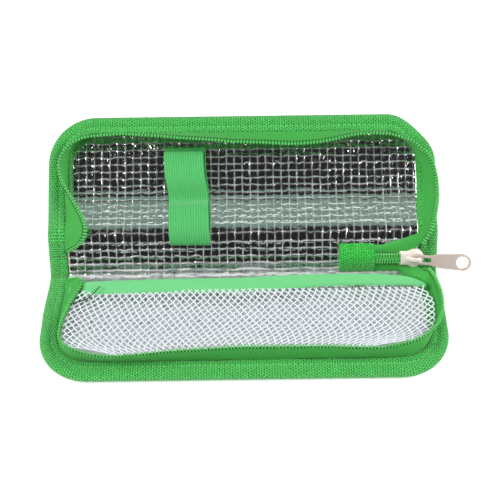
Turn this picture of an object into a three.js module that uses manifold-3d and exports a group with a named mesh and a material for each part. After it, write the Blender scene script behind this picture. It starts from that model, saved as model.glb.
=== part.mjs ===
// Soft insulated pen case, open like a book: base half, spine and lid half,
// edge binding, zip halves standing as side walls, net pocket and pen loops.
// Millimetres. +X is the case's length, +Y points away from the opening side, +Z is up.
// The origin is on the table, under the middle of the base half.

import * as THREE from 'three';
import { mergeVertices } from 'three/addons/utils/BufferGeometryUtils.js';
import Module from 'manifold-3d';

const wasm = await Module();
wasm.setup();

// Driving dimensions of the case
const caseLength = 200;
const baseDepth = 62;
const lidDepth = 63;
const spineWidth = 23;
const cornerRadius = 25;
const waistPinch = 1.5;
const pinchReach = 26;

// Layers of the padded panel, from the outside in
const shellThick = 0.8;
const foamThick = 3.0;
const liningThick = 0.5;
const layerGap = 0.3;
const panelThick = shellThick + foamThick + liningThick + 2 * layerGap;
const halfPanel = panelThick / 2;

// How the case stands open, in degrees
const spineRise = 58;
const lidRootRise = 6;
const lidBend = 26;
const lidRootLength = 14;
const lidBendLength = 14;

// Edge binding
const bindingWidth = 8;
const bindingThick = 0.8;
const rimThick = 4.2;
const foldClearance = 0.3;
const foldEnd = halfPanel + foldClearance;

// Zip halves that stand as walls
const wallInset = 9;
const tapeThick = 0.6;
const coilHeight = 2.0;
const coilThick = 2.2;
const coilWaist = 1.2;
const coilPitch = 1.35;
const wallCoilPitch = 2 * coilPitch;
const meetingGap = 0.6;
const insideHeight = spineWidth - panelThick;
const wallHeight = (insideHeight - meetingGap) / 2;
const baseLeftLean = -1.5;
const baseRightLean = -5;
const baseFrontLean = 0.6;
const lidLeftLean = -3;
const lidRightLean = -6.4;
const lidFrontLean = 3.4;
const leftWallStart = 8;
const rightWallStart = 10.5;

// Net pocket
const netLevel = 5.9;
const netThick = 0.7;
const netCell = 7.3;
const netStrand = 0.9;
const netBorder = 1.1;
const bandWidth = 6.8;
const bandThick = 0.8;
const bandFromFold = 10.4;
const pocketSideGap = 0.3;

// Elastic strap with two pen loops, on the lid
const elasticWidth = 20;
const elasticThick = 0.8;
const elasticCentre = -31;
const loopSeams = [3.4, 19.5, 43];
const loopHeight = 6.9;
const seamWidth = 2.2;

// Closed end of the zip, on the spine
const zipLine = 9.8;
const endTapeWidth = 13.4;
const endTapeThick = 0.5;
const endTapeLift = 1.0;
const chainWidth = 6.3;
const chainThick = 1.5;
const chainShown = 14.3;
const chainInSlider = 2;
const tabLength = 18;
const tabFromSlider = 5.9;
const tabWidth = 14;
const tabThick = 0.7;

// Zip slider
const sliderFromEnd = 9.1;
const sliderLength = 12.3;
const sliderRearWidth = 7.8;
const sliderMaxWidth = 9.8;
const sliderNoseWidth = 3.0;
const plateThick = 0.7;
const sliderGap = 0.3;
const flangeThick = 0.9;
const dividerLength = 2.6;
const crownWidth = 3.0;
const crownThick = 1.1;
const crownFoot = 1.2;
const sliderTravel = 6;

// Pull tab
const pullThick = 1.2;
const pullBar = 1.2;
const pullAxisFromRear = 7.9;
const pullLength = 28.5;
const pullRootWidth = 6.8;
const pullEndWidth = 8.0;
const pullHole = 6.3;
const pullHoleFromEnd = 4.75;
const pullSlotLength = 7.6;
const pullSlotClearance = 0.4;

// Fineness of the round stretches
const cornerSteps = 8;
const bendSteps = 5;
const pinchSteps = 4;
const noseSteps = 5;
const plateSteps = 6;

const half = caseLength / 2;
const quarterTurn = 90;
const degrees = Math.PI / 180;
const smooth = (x) => x * x * (3 - 2 * x);
const clamp01 = (x) => Math.min(1, Math.max(0, x));

// Colours and finishes
const finish = (colour, roughness, metalness = 0) =>
  new THREE.MeshStandardMaterial({ color: colour, roughness, metalness });
const greens = {
  shell: finish(0x35a94a, 0.9),
  binding: finish(0x3cb94d, 0.8),
  tape: finish(0x5cbb60, 0.85),
  coil: finish(0x49b357, 0.6),
  elastic: finish(0x55c878, 0.8),
  tab: finish(0x2fb548, 0.5),
};
const foamWhite = finish(0xf2f2ee, 0.95);
const foil = finish(0xb8bcbe, 0.25, 1);
const netWhite = finish(0xe6eaf0, 0.7);
const zinc = finish(0xd8ccca, 0.3, 1);

// The case and its moving groups
const insulatedCase = new THREE.Group();
insulatedCase.position.y = baseDepth / 2;
const foldA = new THREE.Group();
foldA.position.set(0, 0, halfPanel);
foldA.rotation.x = spineRise * degrees;
insulatedCase.add(foldA);
const foldB = new THREE.Group();
foldB.position.set(0, spineWidth, 0);
foldB.rotation.x = (lidRootRise - spineRise) * degrees;
foldA.add(foldB);

// Where a point of each panel lies: u along the case, v away from the fold, w above the outside face
const baseMap = (u, v, w) => [u, -v, w];
const spineMap = (u, v, w) => [u, v, w - halfPanel];
const bendRadius = lidBendLength / (lidBend * degrees);
function lidMap(u, v, w) {
  const turn = clamp01((v - lidRootLength) / lidBendLength) * lidBend * degrees;
  const beyond = Math.max(0, v - lidRootLength - lidBendLength);
  const before = Math.min(v, lidRootLength);
  const reach = bendRadius - (w - panelThick);
  const y = before + reach * Math.sin(turn) + beyond * Math.cos(turn);
  const z = halfPanel + bendRadius - reach * Math.cos(turn) + beyond * Math.sin(turn);
  return [u, y, z];
}

// The two halves of the case share one outline and differ in depth and form
const baseHalf = { depth: baseDepth, map: baseMap, bends: [] };
const lidHalf = {
  depth: lidDepth,
  map: lidMap,
  bends: Array.from({ length: bendSteps + 1 }, (_, i) => lidRootLength + (lidBendLength * i) / bendSteps),
};

// Half the case's length at a distance v from a fold: the waist is drawn in a little
const halfLength = (v) => half - waistPinch * (1 - smooth(clamp01(v / pinchReach)));

// Closed solid from rows of points: each row is a closed loop with the same number of points
function loft(rows, caps) {
  const count = rows[0].length;
  const points = rows.flat();
  const faces = [];
  for (let i = 0; i + 1 < rows.length; i += 1) {
    for (let k = 0; k < count; k += 1) {
      const next = (k + 1) % count;
      const [a, b] = [i * count + k, i * count + next];
      const [c, d] = [a + count, b + count];
      faces.push([a, b, d], [a, d, c]);
    }
  }
  const last = (rows.length - 1) * count;
  for (const [a, b, c] of caps) {
    faces.push([c, b, a], [last + a, last + b, last + c]);
  }
  return solid(points, faces);
}

// Geometry from points and faces, turned so that its faces point out
function solid(points, faces) {
  let volume = 0;
  const [a, b, c] = [new THREE.Vector3(), new THREE.Vector3(), new THREE.Vector3()];
  for (const face of faces) {
    a.fromArray(points[face[0]]);
    b.fromArray(points[face[1]]);
    c.fromArray(points[face[2]]);
    volume += a.dot(b.cross(c));
  }
  const order = volume < 0 ? faces.map(([p, q, r]) => [p, r, q]) : faces;
  const geometry = new THREE.BufferGeometry();
  geometry.setAttribute('position', new THREE.Float32BufferAttribute(points.flat(), 3));
  geometry.setIndex(order.flat());
  return geometry;
}

// Caps of a flat profile, as triangles of its point numbers in the profile's own turning sense
function profileCaps(profile) {
  const points = profile.map(([x, y]) => new THREE.Vector2(x, y));
  const caps = THREE.ShapeUtils.triangulateShape(points, []);
  return THREE.ShapeUtils.isClockWise(points) ? caps.map(([a, b, c]) => [c, b, a]) : caps;
}

// Caps of an outline whose left and right sides mirror each other, as a ladder of rungs
function ladderCaps(count) {
  const side = count / 2;
  const caps = [];
  for (let i = 0; i + 1 < side; i += 1) {
    const [a, b] = [i, i + 1];
    const [c, d] = [count - 1 - i, count - 2 - i];
    caps.push([a, b, d], [a, d, c]);
  }
  return caps;
}

// Stations up one side of a half's outline: where they lie for a given inset
function sideStations(panel, start) {
  const straight = panel.depth - cornerRadius;
  const stops = new Set([start, straight]);
  for (let i = 1; i < pinchSteps; i += 1) {
    stops.add(start + ((pinchReach - start) * i) / pinchSteps);
  }
  for (const bend of panel.bends) stops.add(bend);
  const along = [...stops].filter((v) => v >= start && v <= straight).sort((p, q) => p - q);
  const stations = along.map((v) => ({ turn: 0, at: (d) => [halfLength(v) - d, v] }));
  for (let i = 1; i <= cornerSteps; i += 1) {
    stations.push(cornerStation(panel, (quarterTurn * i) / cornerSteps));
  }
  return stations;
}

// One station on a half's round corner, turn degrees from the side towards the long edge
function cornerStation(panel, turn) {
  const [cos, sin] = [Math.cos(turn * degrees), Math.sin(turn * degrees)];
  return {
    turn,
    at: (d) => [
      half - cornerRadius + (cornerRadius - d) * cos,
      panel.depth - cornerRadius + (cornerRadius - d) * sin,
    ],
  };
}

// Closed outline of a half at an inset: up the right side, across the long edge, down the left
function outline(stations, inset) {
  const right = stations.map((station) => station.at(inset));
  const left = right.map(([u, v]) => [-u, v]).reverse();
  return [...right, ...left];
}

// Padded layer of a half: a stack of outlines, each at its own inset and height
function panelLayer(panel, profile, start = foldEnd) {
  const stations = sideStations(panel, start);
  const rows = profile.map(([inset, w]) =>
    outline(stations, inset).map(([u, v]) => panel.map(u, v, w)));
  return loft(rows, ladderCaps(rows[0].length));
}

// Path round a half's three outer edges, from the left end to the right end
function edgePath(panel, startLeft, startRight) {
  const flip = (station) => ({
    turn: station.turn,
    left: true,
    at: (d) => {
      const [u, v] = station.at(d);
      return [-u, v];
    },
  });
  const left = sideStations(panel, startLeft).map(flip);
  return [...left, ...sideStations(panel, startRight).reverse()];
}

// Even steps round a half's three outer edges, for the zip's teeth
function evenPath(panel, startLeft, startRight, inset, pitch) {
  const straight = panel.depth - cornerRadius;
  const arc = (cornerRadius - inset) * quarterTurn * degrees;
  const front = 2 * (half - cornerRadius);
  const lengths = [straight - startLeft, arc, front, arc, straight - startRight];
  const total = lengths.reduce((sum, length) => sum + length, 0);
  const count = Math.round(total / pitch);
  const place = (s) => {
    let rest = s;
    let part = 0;
    while (part < lengths.length - 1 && rest > lengths[part]) {
      rest -= lengths[part];
      part += 1;
    }
    const share = rest / lengths[part];
    if (part === 0) return sideAt(startLeft + rest, -1);
    if (part === 4) return sideAt(straight - rest, 1);
    if (part === 2) return frontAt(-front / 2 + rest);
    const turn = part === 1 ? quarterTurn * share : quarterTurn * (1 - share);
    const corner = cornerStation(panel, turn);
    const sign = part === 1 ? -1 : 1;
    return { turn, left: sign < 0, at: (d) => [sign * corner.at(d)[0], corner.at(d)[1]] };
  };
  const sideAt = (v, sign) => ({ turn: 0, left: sign < 0, at: (d) => [sign * (halfLength(v) - d), v] });
  const frontAt = (u) => ({ turn: quarterTurn, left: u < 0, at: (d) => [u, panel.depth - d] });
  return Array.from({ length: 2 * count + 1 }, (_, i) => place((total * i) / (2 * count)));
}

// Solid that runs along an edge path with a profile of insets and heights, which may change on the way
function edgeSweep(panel, path, profileAt) {
  const rows = path.map((station, i) =>
    profileAt(station, i).map(([inset, w]) => {
      const [u, v] = station.at(inset);
      return panel.map(u, v, w);
    }));
  return loft(rows, profileCaps(profileAt(path[0], 0)));
}

// Named piece with its own finish, in a group
function piece(name, geometry, material, group = insulatedCase) {
  const mesh = new THREE.Mesh(geometry, material);
  mesh.name = name;
  mesh.geometry.computeVertexNormals();
  group.add(mesh);
  return mesh;
}

// Joins and cuts of closed geometries
function toSolid(geometry) {
  const bare = geometry.index ? geometry.clone() : geometry;
  const plain = new THREE.BufferGeometry();
  plain.setAttribute('position', bare.getAttribute('position'));
  if (bare.index) plain.setIndex(bare.index);
  const merged = mergeVertices(plain, 1e-4);
  return new wasm.Manifold(new wasm.Mesh({
    numProp: 3,
    vertProperties: new Float32Array(merged.getAttribute('position').array),
    triVerts: new Uint32Array(merged.index.array),
  }));
}
function fromSolid(result) {
  const mesh = result.getMesh();
  const geometry = new THREE.BufferGeometry();
  geometry.setAttribute('position', new THREE.BufferAttribute(new Float32Array(mesh.vertProperties), 3));
  geometry.setIndex([...mesh.triVerts]);
  return geometry;
}
const join = (first, ...others) =>
  fromSolid(others.reduce((sum, other) => sum.add(toSolid(other)), toSolid(first)));
const cut = (first, ...others) =>
  fromSolid(others.reduce((sum, other) => sum.subtract(toSolid(other)), toSolid(first)));

// Padded layers of the base and the lid: outer fabric, foam and foil lining
const rimLow = bindingThick + layerGap;
const shellStep = 0.9;
const shellEdge = bindingWidth + layerGap;
const rimStart = 1.6;
const shellProfile = [
  [shellEdge + shellStep, 0],
  [shellEdge, rimLow],
  [rimStart, rimLow],
  [rimStart, rimLow + shellThick],
  [shellEdge, rimLow + shellThick],
  [shellEdge + 2 * shellStep, shellThick],
];
const foamLow = shellThick + layerGap;
const foamHigh = foamLow + foamThick;
const foamEdge = shellEdge + shellStep;
const foamCrown = 1.1;
const foamProfile = [
  [foamEdge + 2 * foamCrown, foamLow],
  [foamEdge + foamCrown, foamLow + foamCrown],
  [foamEdge, foamLow + foamCrown],
  [foamEdge, foamHigh - foamCrown],
  [foamEdge + foamCrown, foamHigh],
];
const liningLow = panelThick - liningThick;
const rimUpper = rimThick - bindingThick - layerGap;
const liningSlope = 1.6;
const liningProfile = [
  [bindingWidth + liningSlope, liningLow],
  [bindingWidth, rimUpper - liningThick],
  [rimStart, rimUpper - liningThick - layerGap],
  [rimStart, rimUpper - layerGap],
  [bindingWidth, rimUpper],
  [bindingWidth + liningSlope, panelThick],
];

// Binding: a tape folded round the edge, thinner towards the outside
const bindingSoft = 1.2;
const rimSlot = bindingThick + layerGap;
const bindingProfile = [
  [bindingWidth, 0],
  [bindingSoft, 0],
  [bindingSoft / 4, bindingSoft / 2],
  [0, rimThick / 2],
  [bindingSoft / 4, rimThick - bindingSoft / 2],
  [bindingSoft, rimThick],
  [bindingWidth, panelThick],
  [bindingWidth, rimThick - bindingThick + layerGap],
  [rimSlot + layerGap, rimThick - bindingThick],
  [rimSlot, rimThick / 2],
  [rimSlot + layerGap, bindingThick],
  [bindingWidth, bindingThick],
];

// Zip wall: how far its upper edge leans in at each station
const leanAt = (station, leans) => {
  const front = Math.sin(station.turn * degrees) ** 2;
  return leans.front * front + (station.left ? leans.left : leans.right) * (1 - front);
};
const wallRoot = panelThick + layerGap;
const wallTop = panelThick + wallHeight;
const coilFoot = wallTop - coilHeight;
const tapeTop = coilFoot - layerGap;

// Point of the wall at a height w, t outwards from its middle
const wallPoint = (station, leans, w, t) =>
  [wallInset + tapeThick / 2 - t + (leanAt(station, leans) * (w - wallRoot)) / wallHeight, w];
function zipTape(panel, leans) {
  const path = edgePath(panel, leftWallStart, rightWallStart);
  return edgeSweep(panel, path, (station) => [
    wallPoint(station, leans, wallRoot, tapeThick / 2),
    wallPoint(station, leans, tapeTop, tapeThick / 2),
    wallPoint(station, leans, tapeTop, -tapeThick / 2),
    wallPoint(station, leans, wallRoot, -tapeThick / 2),
  ]);
}
function zipCoil(panel, leans) {
  const path = evenPath(panel, leftWallStart, rightWallStart, wallInset, wallCoilPitch);
  return edgeSweep(panel, path, (station, i) => {
    const reach = (i % 2 ? coilThick : coilWaist) / 2;
    const top = i % 2 ? wallTop : wallTop - coilHeight / 4;
    const middle = (coilFoot + wallTop) / 2;
    return [
      wallPoint(station, leans, coilFoot, reach / 2),
      wallPoint(station, leans, middle, reach),
      wallPoint(station, leans, top, reach / 2),
      wallPoint(station, leans, top, -reach / 2),
      wallPoint(station, leans, middle, -reach),
      wallPoint(station, leans, coilFoot, -reach / 2),
    ];
  });
}

function addHalf(prefix, panel, leans, group) {
  piece(`${prefix}_shell`, panelLayer(panel, shellProfile), greens.shell, group);
  piece(`${prefix}_foam`, panelLayer(panel, foamProfile), foamWhite, group);
  piece(`${prefix}_lining`, panelLayer(panel, liningProfile), foil, group);
  const path = edgePath(panel, foldEnd, foldEnd);
  piece(`${prefix}_binding`, edgeSweep(panel, path, () => bindingProfile), greens.binding, group);
  piece(`${prefix}_zip_tape`, zipTape(panel, leans), greens.tape, group);
  piece(`${prefix}_zip_coil`, zipCoil(panel, leans), greens.coil, group);
}
const baseLeans = { left: baseLeftLean, right: baseRightLean, front: baseFrontLean };
const lidLeans = { left: lidLeftLean, right: lidRightLean, front: lidFrontLean };
addHalf('base', baseHalf, baseLeans, insulatedCase);
addHalf('lid', lidHalf, lidLeans, foldB);

// Spine: layers with round noses that turn inside the ends of the base and the lid
const noseTipGap = 0.85;
const noseReach = Math.acos(noseTipGap / 2 / halfPanel) / degrees;
const spineEnd = halfLength(0) - shellEdge;
const noseArc = (centre, radius, from, to) =>
  Array.from({ length: noseSteps + 1 }, (_, i) => {
    const angle = (from + ((to - from) * i) / noseSteps) * degrees;
    return [centre + radius * Math.cos(angle), halfPanel + radius * Math.sin(angle)];
  });
const roundEnds = (radius) => [
  ...noseArc(0, radius, 3 * quarterTurn, quarterTurn),
  ...noseArc(spineWidth, radius, quarterTurn, -quarterTurn),
];
function acrossSpine(profile, from, to) {
  const rows = [from, to].map((u) => profile.map(([v, w]) => spineMap(u, v, w)));
  return loft(rows, profileCaps(profile));
}
function wrappedLayer(outer, inner, side) {
  const tip = quarterTurn + noseReach;
  const lap = [
    ...noseArc(0, outer, tip, quarterTurn),
    ...noseArc(spineWidth, outer, quarterTurn, quarterTurn - noseReach),
    ...noseArc(spineWidth, inner, quarterTurn - noseReach, quarterTurn),
    ...noseArc(0, inner, quarterTurn, tip),
  ];
  return lap.map(([v, w]) => [v, side > 0 ? w : panelThick - w]);
}
const spineLiningProfile = wrappedLayer(halfPanel, halfPanel - liningThick, 1);
const spineShellProfile = wrappedLayer(halfPanel, halfPanel - shellThick, -1);
const foamNose = foamThick / 2;
const foamRise = foamLow + foamNose - halfPanel;
const spineFoamProfile = [
  ...roundEnds(foamNose),
].map(([v, w]) => [v, w + foamRise]);
piece('spine_shell', acrossSpine(spineShellProfile, -spineEnd, spineEnd), greens.shell, foldA);
piece('spine_foam', acrossSpine(spineFoamProfile, -spineEnd, spineEnd), foamWhite, foldA);
piece('spine_lining', acrossSpine(spineLiningProfile, -spineEnd, spineEnd), foil, foldA);

// Spine's ends in their binding: rounded over both folds and thinner towards the outside
function spineBinding(sign) {
  const innerEnd = halfLength(0) - bindingWidth;
  const outerEnd = halfLength(0);
  const rings = [
    [innerEnd, panelThick],
    [outerEnd - bindingSoft, rimThick],
    [outerEnd - bindingSoft / 4, rimThick - bindingSoft],
    [outerEnd, rimThick - 2 * bindingSoft],
  ];
  const rows = rings.map(([u, thick]) => [
    ...roundEnds(thick / 2),
  ].map(([v, w]) => spineMap(sign * u, v, w)));
  return loft(rows, profileCaps(roundEnds(halfPanel)));
}
piece('spine_binding_left', spineBinding(-1), greens.binding, foldA);
piece('spine_binding_right', spineBinding(1), greens.binding, foldA);

// Net pocket on the base: a flat net of diamond gaps inside a border, as far as the zip walls
const wallFaceAt = (station, low, high) => {
  const lean = leanAt(station, baseLeans);
  const level = lean > 0 ? high : low;
  return wallInset + tapeThick + pocketSideGap + (lean * (level - wallRoot)) / wallHeight;
};
const netLow = panelThick + netLevel;
const netBack = bandFromFold + bandWidth + pocketSideGap;
function netSide(left) {
  const insetAt = (turn) => wallFaceAt({ turn, left }, netLow, netLow + netThick);
  const side = [
    [halfLength(netBack) - insetAt(0), netBack],
    [half - insetAt(0), Math.max(netBack, pinchReach)],
  ];
  for (let i = 0; i <= cornerSteps; i += 1) {
    const turn = (quarterTurn * i) / cornerSteps;
    side.push(cornerStation(baseHalf, turn).at(insetAt(turn)));
  }
  return side;
}
const netOutline = [...netSide(false), ...netSide(true).map(([u, v]) => [-u, v]).reverse()];

// Distance inside a convex outline, negative outside it
function depthInside(points, [x, y]) {
  let least = Infinity;
  for (let i = 0; i < points.length; i += 1) {
    const [ax, ay] = points[i];
    const [bx, by] = points[(i + 1) % points.length];
    const length = Math.hypot(bx - ax, by - ay);
    if (length === 0) continue;
    const side = ((bx - ax) * (y - ay) - (by - ay) * (x - ax)) / length;
    least = Math.min(least, side);
  }
  return least;
}
const netBorderShare = 0.999;
function netGeometry() {
  const gaps = [];
  const reach = netCell / 2 - netStrand * Math.SQRT1_2;
  const columns = Math.ceil(half / (netCell / 2));
  const rows = Math.ceil(baseDepth / (netCell / 2));
  const leastBorder = netBorder * netBorderShare;
  for (let i = -columns; i <= columns; i += 1) {
    for (let j = 0; j <= rows; j += 1) {
      if ((i + j) % 2 !== 0) continue;
      const centre = [(i * netCell) / 2, netBack + netBorder + reach + (j * netCell) / 2];
      const gap = [[reach, 0], [0, reach], [-reach, 0], [0, -reach]]
        .map(([x, y]) => [centre[0] + x, centre[1] + y]);
      if (gap.some((point) => depthInside(netOutline, point) < leastBorder)) continue;
      gaps.push(gap);
    }
  }
  const flat = new wasm.CrossSection([netOutline, ...gaps], 'EvenOdd');
  return fromSolid(flat.extrude(netThick).mirror([0, 1, 0]).translate([0, 0, netLow]));
}
piece('pocket_net', netGeometry(), netWhite);

// Elastic band along the pocket's mouth, from zip wall to zip wall
const bandLow = netLow - bandThick / 2 + netThick / 2;
const bandReach = (left) =>
  halfLength(bandFromFold) - wallFaceAt({ turn: 0, left }, bandLow, bandLow + bandThick);
const bandRound = bandThick / 3;
const bandProfile = [
  [bandFromFold + bandRound, bandLow],
  [bandFromFold + bandWidth - bandRound, bandLow],
  [bandFromFold + bandWidth, bandLow + bandThick / 2],
  [bandFromFold + bandWidth - bandRound, bandLow + bandThick],
  [bandFromFold + bandRound, bandLow + bandThick],
  [bandFromFold, bandLow + bandThick / 2],
];
const bandEnds = [-bandReach(true), bandReach(false)];
const bandRows = bandEnds.map((u) => bandProfile.map(([v, w]) => baseMap(u, v, w)));
piece('pocket_band', loft(bandRows, profileCaps(bandProfile)), greens.elastic);

// Pen loops: a flat back layer on the lining, and a front layer that arches between three seams
const strapRoot = panelThick + layerGap;
const strapFrom = loopSeams[0] - seamWidth / 2;
const strapTo = loopSeams[2] + seamWidth / 2;
const strapSteps = 30;
const strapStops = Array.from({ length: strapSteps + 1 }, (_, i) =>
  strapFrom + ((strapTo - strapFrom) * i) / strapSteps);
function strap(profileAt) {
  const rows = strapStops.map((v) => profileAt(v).map(([u, w]) => lidMap(elasticCentre + u, v, w)));
  return loft(rows, [[0, 1, 2], [0, 2, 3]]);
}
function archHeight(v) {
  const low = layerGap + elasticThick;
  for (let i = 0; i < 2; i += 1) {
    const [from, to] = [loopSeams[i] + seamWidth / 2, loopSeams[i + 1] - seamWidth / 2];
    if (v > from && v < to) {
      const share = (v - from) / (to - from);
      return low + loopHeight * Math.sin(Math.PI * share) ** 0.6;
    }
  }
  return low;
}
const strapSlab = (low) => [
  [-elasticWidth / 2, low],
  [elasticWidth / 2, low],
  [elasticWidth / 2, low + elasticThick],
  [-elasticWidth / 2, low + elasticThick],
];
piece('pen_loop_back', strap(() => strapSlab(strapRoot)), greens.elastic, foldB);
piece('pen_loop_front', strap((v) => strapSlab(strapRoot + archHeight(v))), greens.elastic, foldB);

// Zip end on the spine: levels of its layers above the spine's outside face
const sliderLow = panelThick + layerGap;
const tapeLow = panelThick + endTapeLift + layerGap;
const tapeHigh = tapeLow + endTapeThick;
const chainLow = tapeHigh + layerGap;
const chainHigh = chainLow + chainThick;
const sliderRear = half - sliderFromEnd - sliderLength;
const chainStart = sliderRear - chainShown;
const chainEnd = sliderRear + chainInSlider;
const tabStart = sliderRear - sliderTravel - tabFromSlider - tabLength;
const zipEnd = new THREE.Group();
zipEnd.position.set(0, zipLine, -halfPanel);
foldA.add(zipEnd);

// Box in the zip end's own frame, from its two corners
function block(low, high) {
  const size = high.map((value, i) => value - low[i]);
  const box = new THREE.BoxGeometry(...size);
  box.translate(...low.map((value, i) => value + size[i] / 2));
  return box;
}
const tapeFrom = tabStart + tabThick + layerGap;
const tapeTo = sliderRear + sliderLength;
const tapeHalf = endTapeWidth / 2;
const endTapeSplit = sliderNoseWidth / 2 + sliderGap;
for (const [name, sign] of [['upper', 1], ['lower', -1]]) {
  const edges = [sign * endTapeSplit, sign * tapeHalf].sort((p, q) => p - q);
  const stripe = block([tapeFrom, edges[0], tapeLow], [tapeTo, edges[1], tapeHigh]);
  piece(`zip_end_tape_${name}`, stripe, greens.tape, zipEnd);
}

// Closed chain: two rows of coil loops that mesh along the middle line
function closedChain() {
  const count = Math.round((chainEnd - chainStart) / coilPitch);
  const step = (chainEnd - chainStart) / (2 * count);
  const section = (i) => {
    const out = (i % 2 ? chainWidth : chainWidth - coilPitch) / 2;
    const dip = chainThick / 4;
    const top = i % 2 ? chainHigh : chainHigh - dip;
    const ridge = out / 2;
    return [
      [-out, chainLow], [out, chainLow], [out, chainLow + dip], [ridge, top],
      [0, top - dip], [-ridge, top], [-out, chainLow + dip],
    ];
  };
  const rows = Array.from({ length: 2 * count + 1 }, (_, i) =>
    section(i).map(([v, w]) => [chainStart + i * step, v, w]));
  return loft(rows, profileCaps(section(0)));
}
piece('zip_end_chain', closedChain(), greens.coil, zipEnd);

// Fabric tab folded over the zip's end and sewn down
function endTab() {
  const halfWidth = tabWidth / 2;
  const foot = tapeHalf + layerGap;
  const low = sliderLow;
  const high = chainHigh + layerGap;
  const lap = chainWidth / 2 + layerGap;
  const profile = [
    [-halfWidth, low], [halfWidth, low], [halfWidth, tapeHigh + layerGap],
    [lap + tabThick, tapeHigh + layerGap + tabThick], [lap, high + tabThick],
    [-lap, high + tabThick], [-lap - tabThick, tapeHigh + layerGap + tabThick],
    [-halfWidth, tapeHigh + layerGap],
  ];
  const rows = [tabStart, tabStart + tabLength].map((u) => profile.map(([v, w]) => [u, v, w]));
  const outer = loft(rows, profileCaps(profile));
  const overrun = tabThick;
  const tapeRoom = block(
    [tapeFrom - layerGap, -foot, tapeLow - layerGap],
    [tabStart + tabLength + overrun, foot, tapeHigh + layerGap / 2],
  );
  const chainRoom = block(
    [chainStart - layerGap, -lap, tapeLow],
    [tabStart + tabLength + overrun, lap, high],
  );
  return cut(outer, join(tapeRoom, chainRoom));
}
piece('zip_end_tab', endTab(), greens.tab, zipEnd);

// Slider: top and bottom plates with side flanges, joined by the divider in the nose
const slider = new THREE.Group();
zipEnd.add(slider);
const plateTopLow = chainHigh + sliderGap;
const plateTopHigh = plateTopLow + plateThick;
const plateLowHigh = sliderLow + plateThick;
function sliderOutline(grow) {
  const widest = sliderRear + sliderLength * 0.58;
  const nose = sliderRear + sliderLength;
  const side = [
    [sliderRear - grow, sliderRearWidth / 2 + grow],
    [widest, sliderMaxWidth / 2 + grow],
  ];
  for (let i = 1; i <= plateSteps; i += 1) {
    const angle = (quarterTurn * degrees * i) / plateSteps;
    const rise = sliderNoseWidth / 2 + grow + (sliderMaxWidth - sliderNoseWidth) / 2 * Math.cos(angle);
    side.push([widest + (nose + grow - widest) * Math.sin(angle), rise]);
  }
  return [...side, ...side.map(([u, v]) => [u, -v]).reverse()];
}
function plate(low, high, ease) {
  const rims = low < chainLow ? [[ease, low], [0, low + ease], [0, high]] : [[0, low], [0, high - ease], [ease, high]];
  const rows = rims.map(([inset, w]) => sliderOutline(-inset).map(([u, v]) => [u, v, w]));
  return loft(rows, ladderCaps(rows[0].length));
}
function sliderBody() {
  const ease = plateThick / 3;
  const top = plate(plateTopLow, plateTopHigh, ease);
  const bottom = plate(sliderLow, plateLowHigh, ease);
  const nose = sliderRear + sliderLength;
  const dividerHalf = sliderNoseWidth / 2;
  const divider = block(
    [nose - dividerLength, -dividerHalf, plateLowHigh - ease],
    [nose - ease, dividerHalf, plateTopLow + ease],
  );
  const inner = chainWidth / 2 + sliderGap;
  const flangeEnd = sliderRear + sliderLength * 0.58;
  const flanges = [];
  for (const sign of [1, -1]) {
    const edges = [sign * inner, sign * (inner + flangeThick / 2)].sort((p, q) => p - q);
    flanges.push(block([sliderRear + ease, edges[0], tapeHigh + sliderGap], [flangeEnd, edges[1], plateTopLow + ease]));
  }
  return join(top, bottom, divider, ...flanges);
}
piece('slider_body', sliderBody(), zinc, slider);

// Crown: a strap arched over the pull's bar
const pullAxis = [sliderRear + pullAxisFromRear, plateTopHigh + pullThick / 2 + sliderGap];
const crownClear = pullAxis[1] + pullBar / 2 + sliderGap;
function crownGeometry() {
  const foot = plateTopHigh + sliderGap;
  const from = sliderRear + sliderLength * 0.14;
  const to = sliderRear + sliderLength * 0.97;
  const top = crownClear + crownThick;
  const ease = crownThick;
  const profile = [
    [from, foot], [from, top - ease], [from + ease, top], [to - ease, top], [to, top - ease], [to, foot],
    [to - crownFoot, foot], [to - crownFoot, crownClear - ease / 2], [to - crownFoot - ease / 2, crownClear],
    [from + crownFoot + ease / 2, crownClear], [from + crownFoot, crownClear - ease / 2], [from + crownFoot, foot],
  ];
  const rows = [-crownWidth / 2, crownWidth / 2].map((v) => profile.map(([u, w]) => [u, v, w]));
  return loft(rows, profileCaps(profile));
}
piece('slider_crown', crownGeometry(), zinc, slider);

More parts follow.
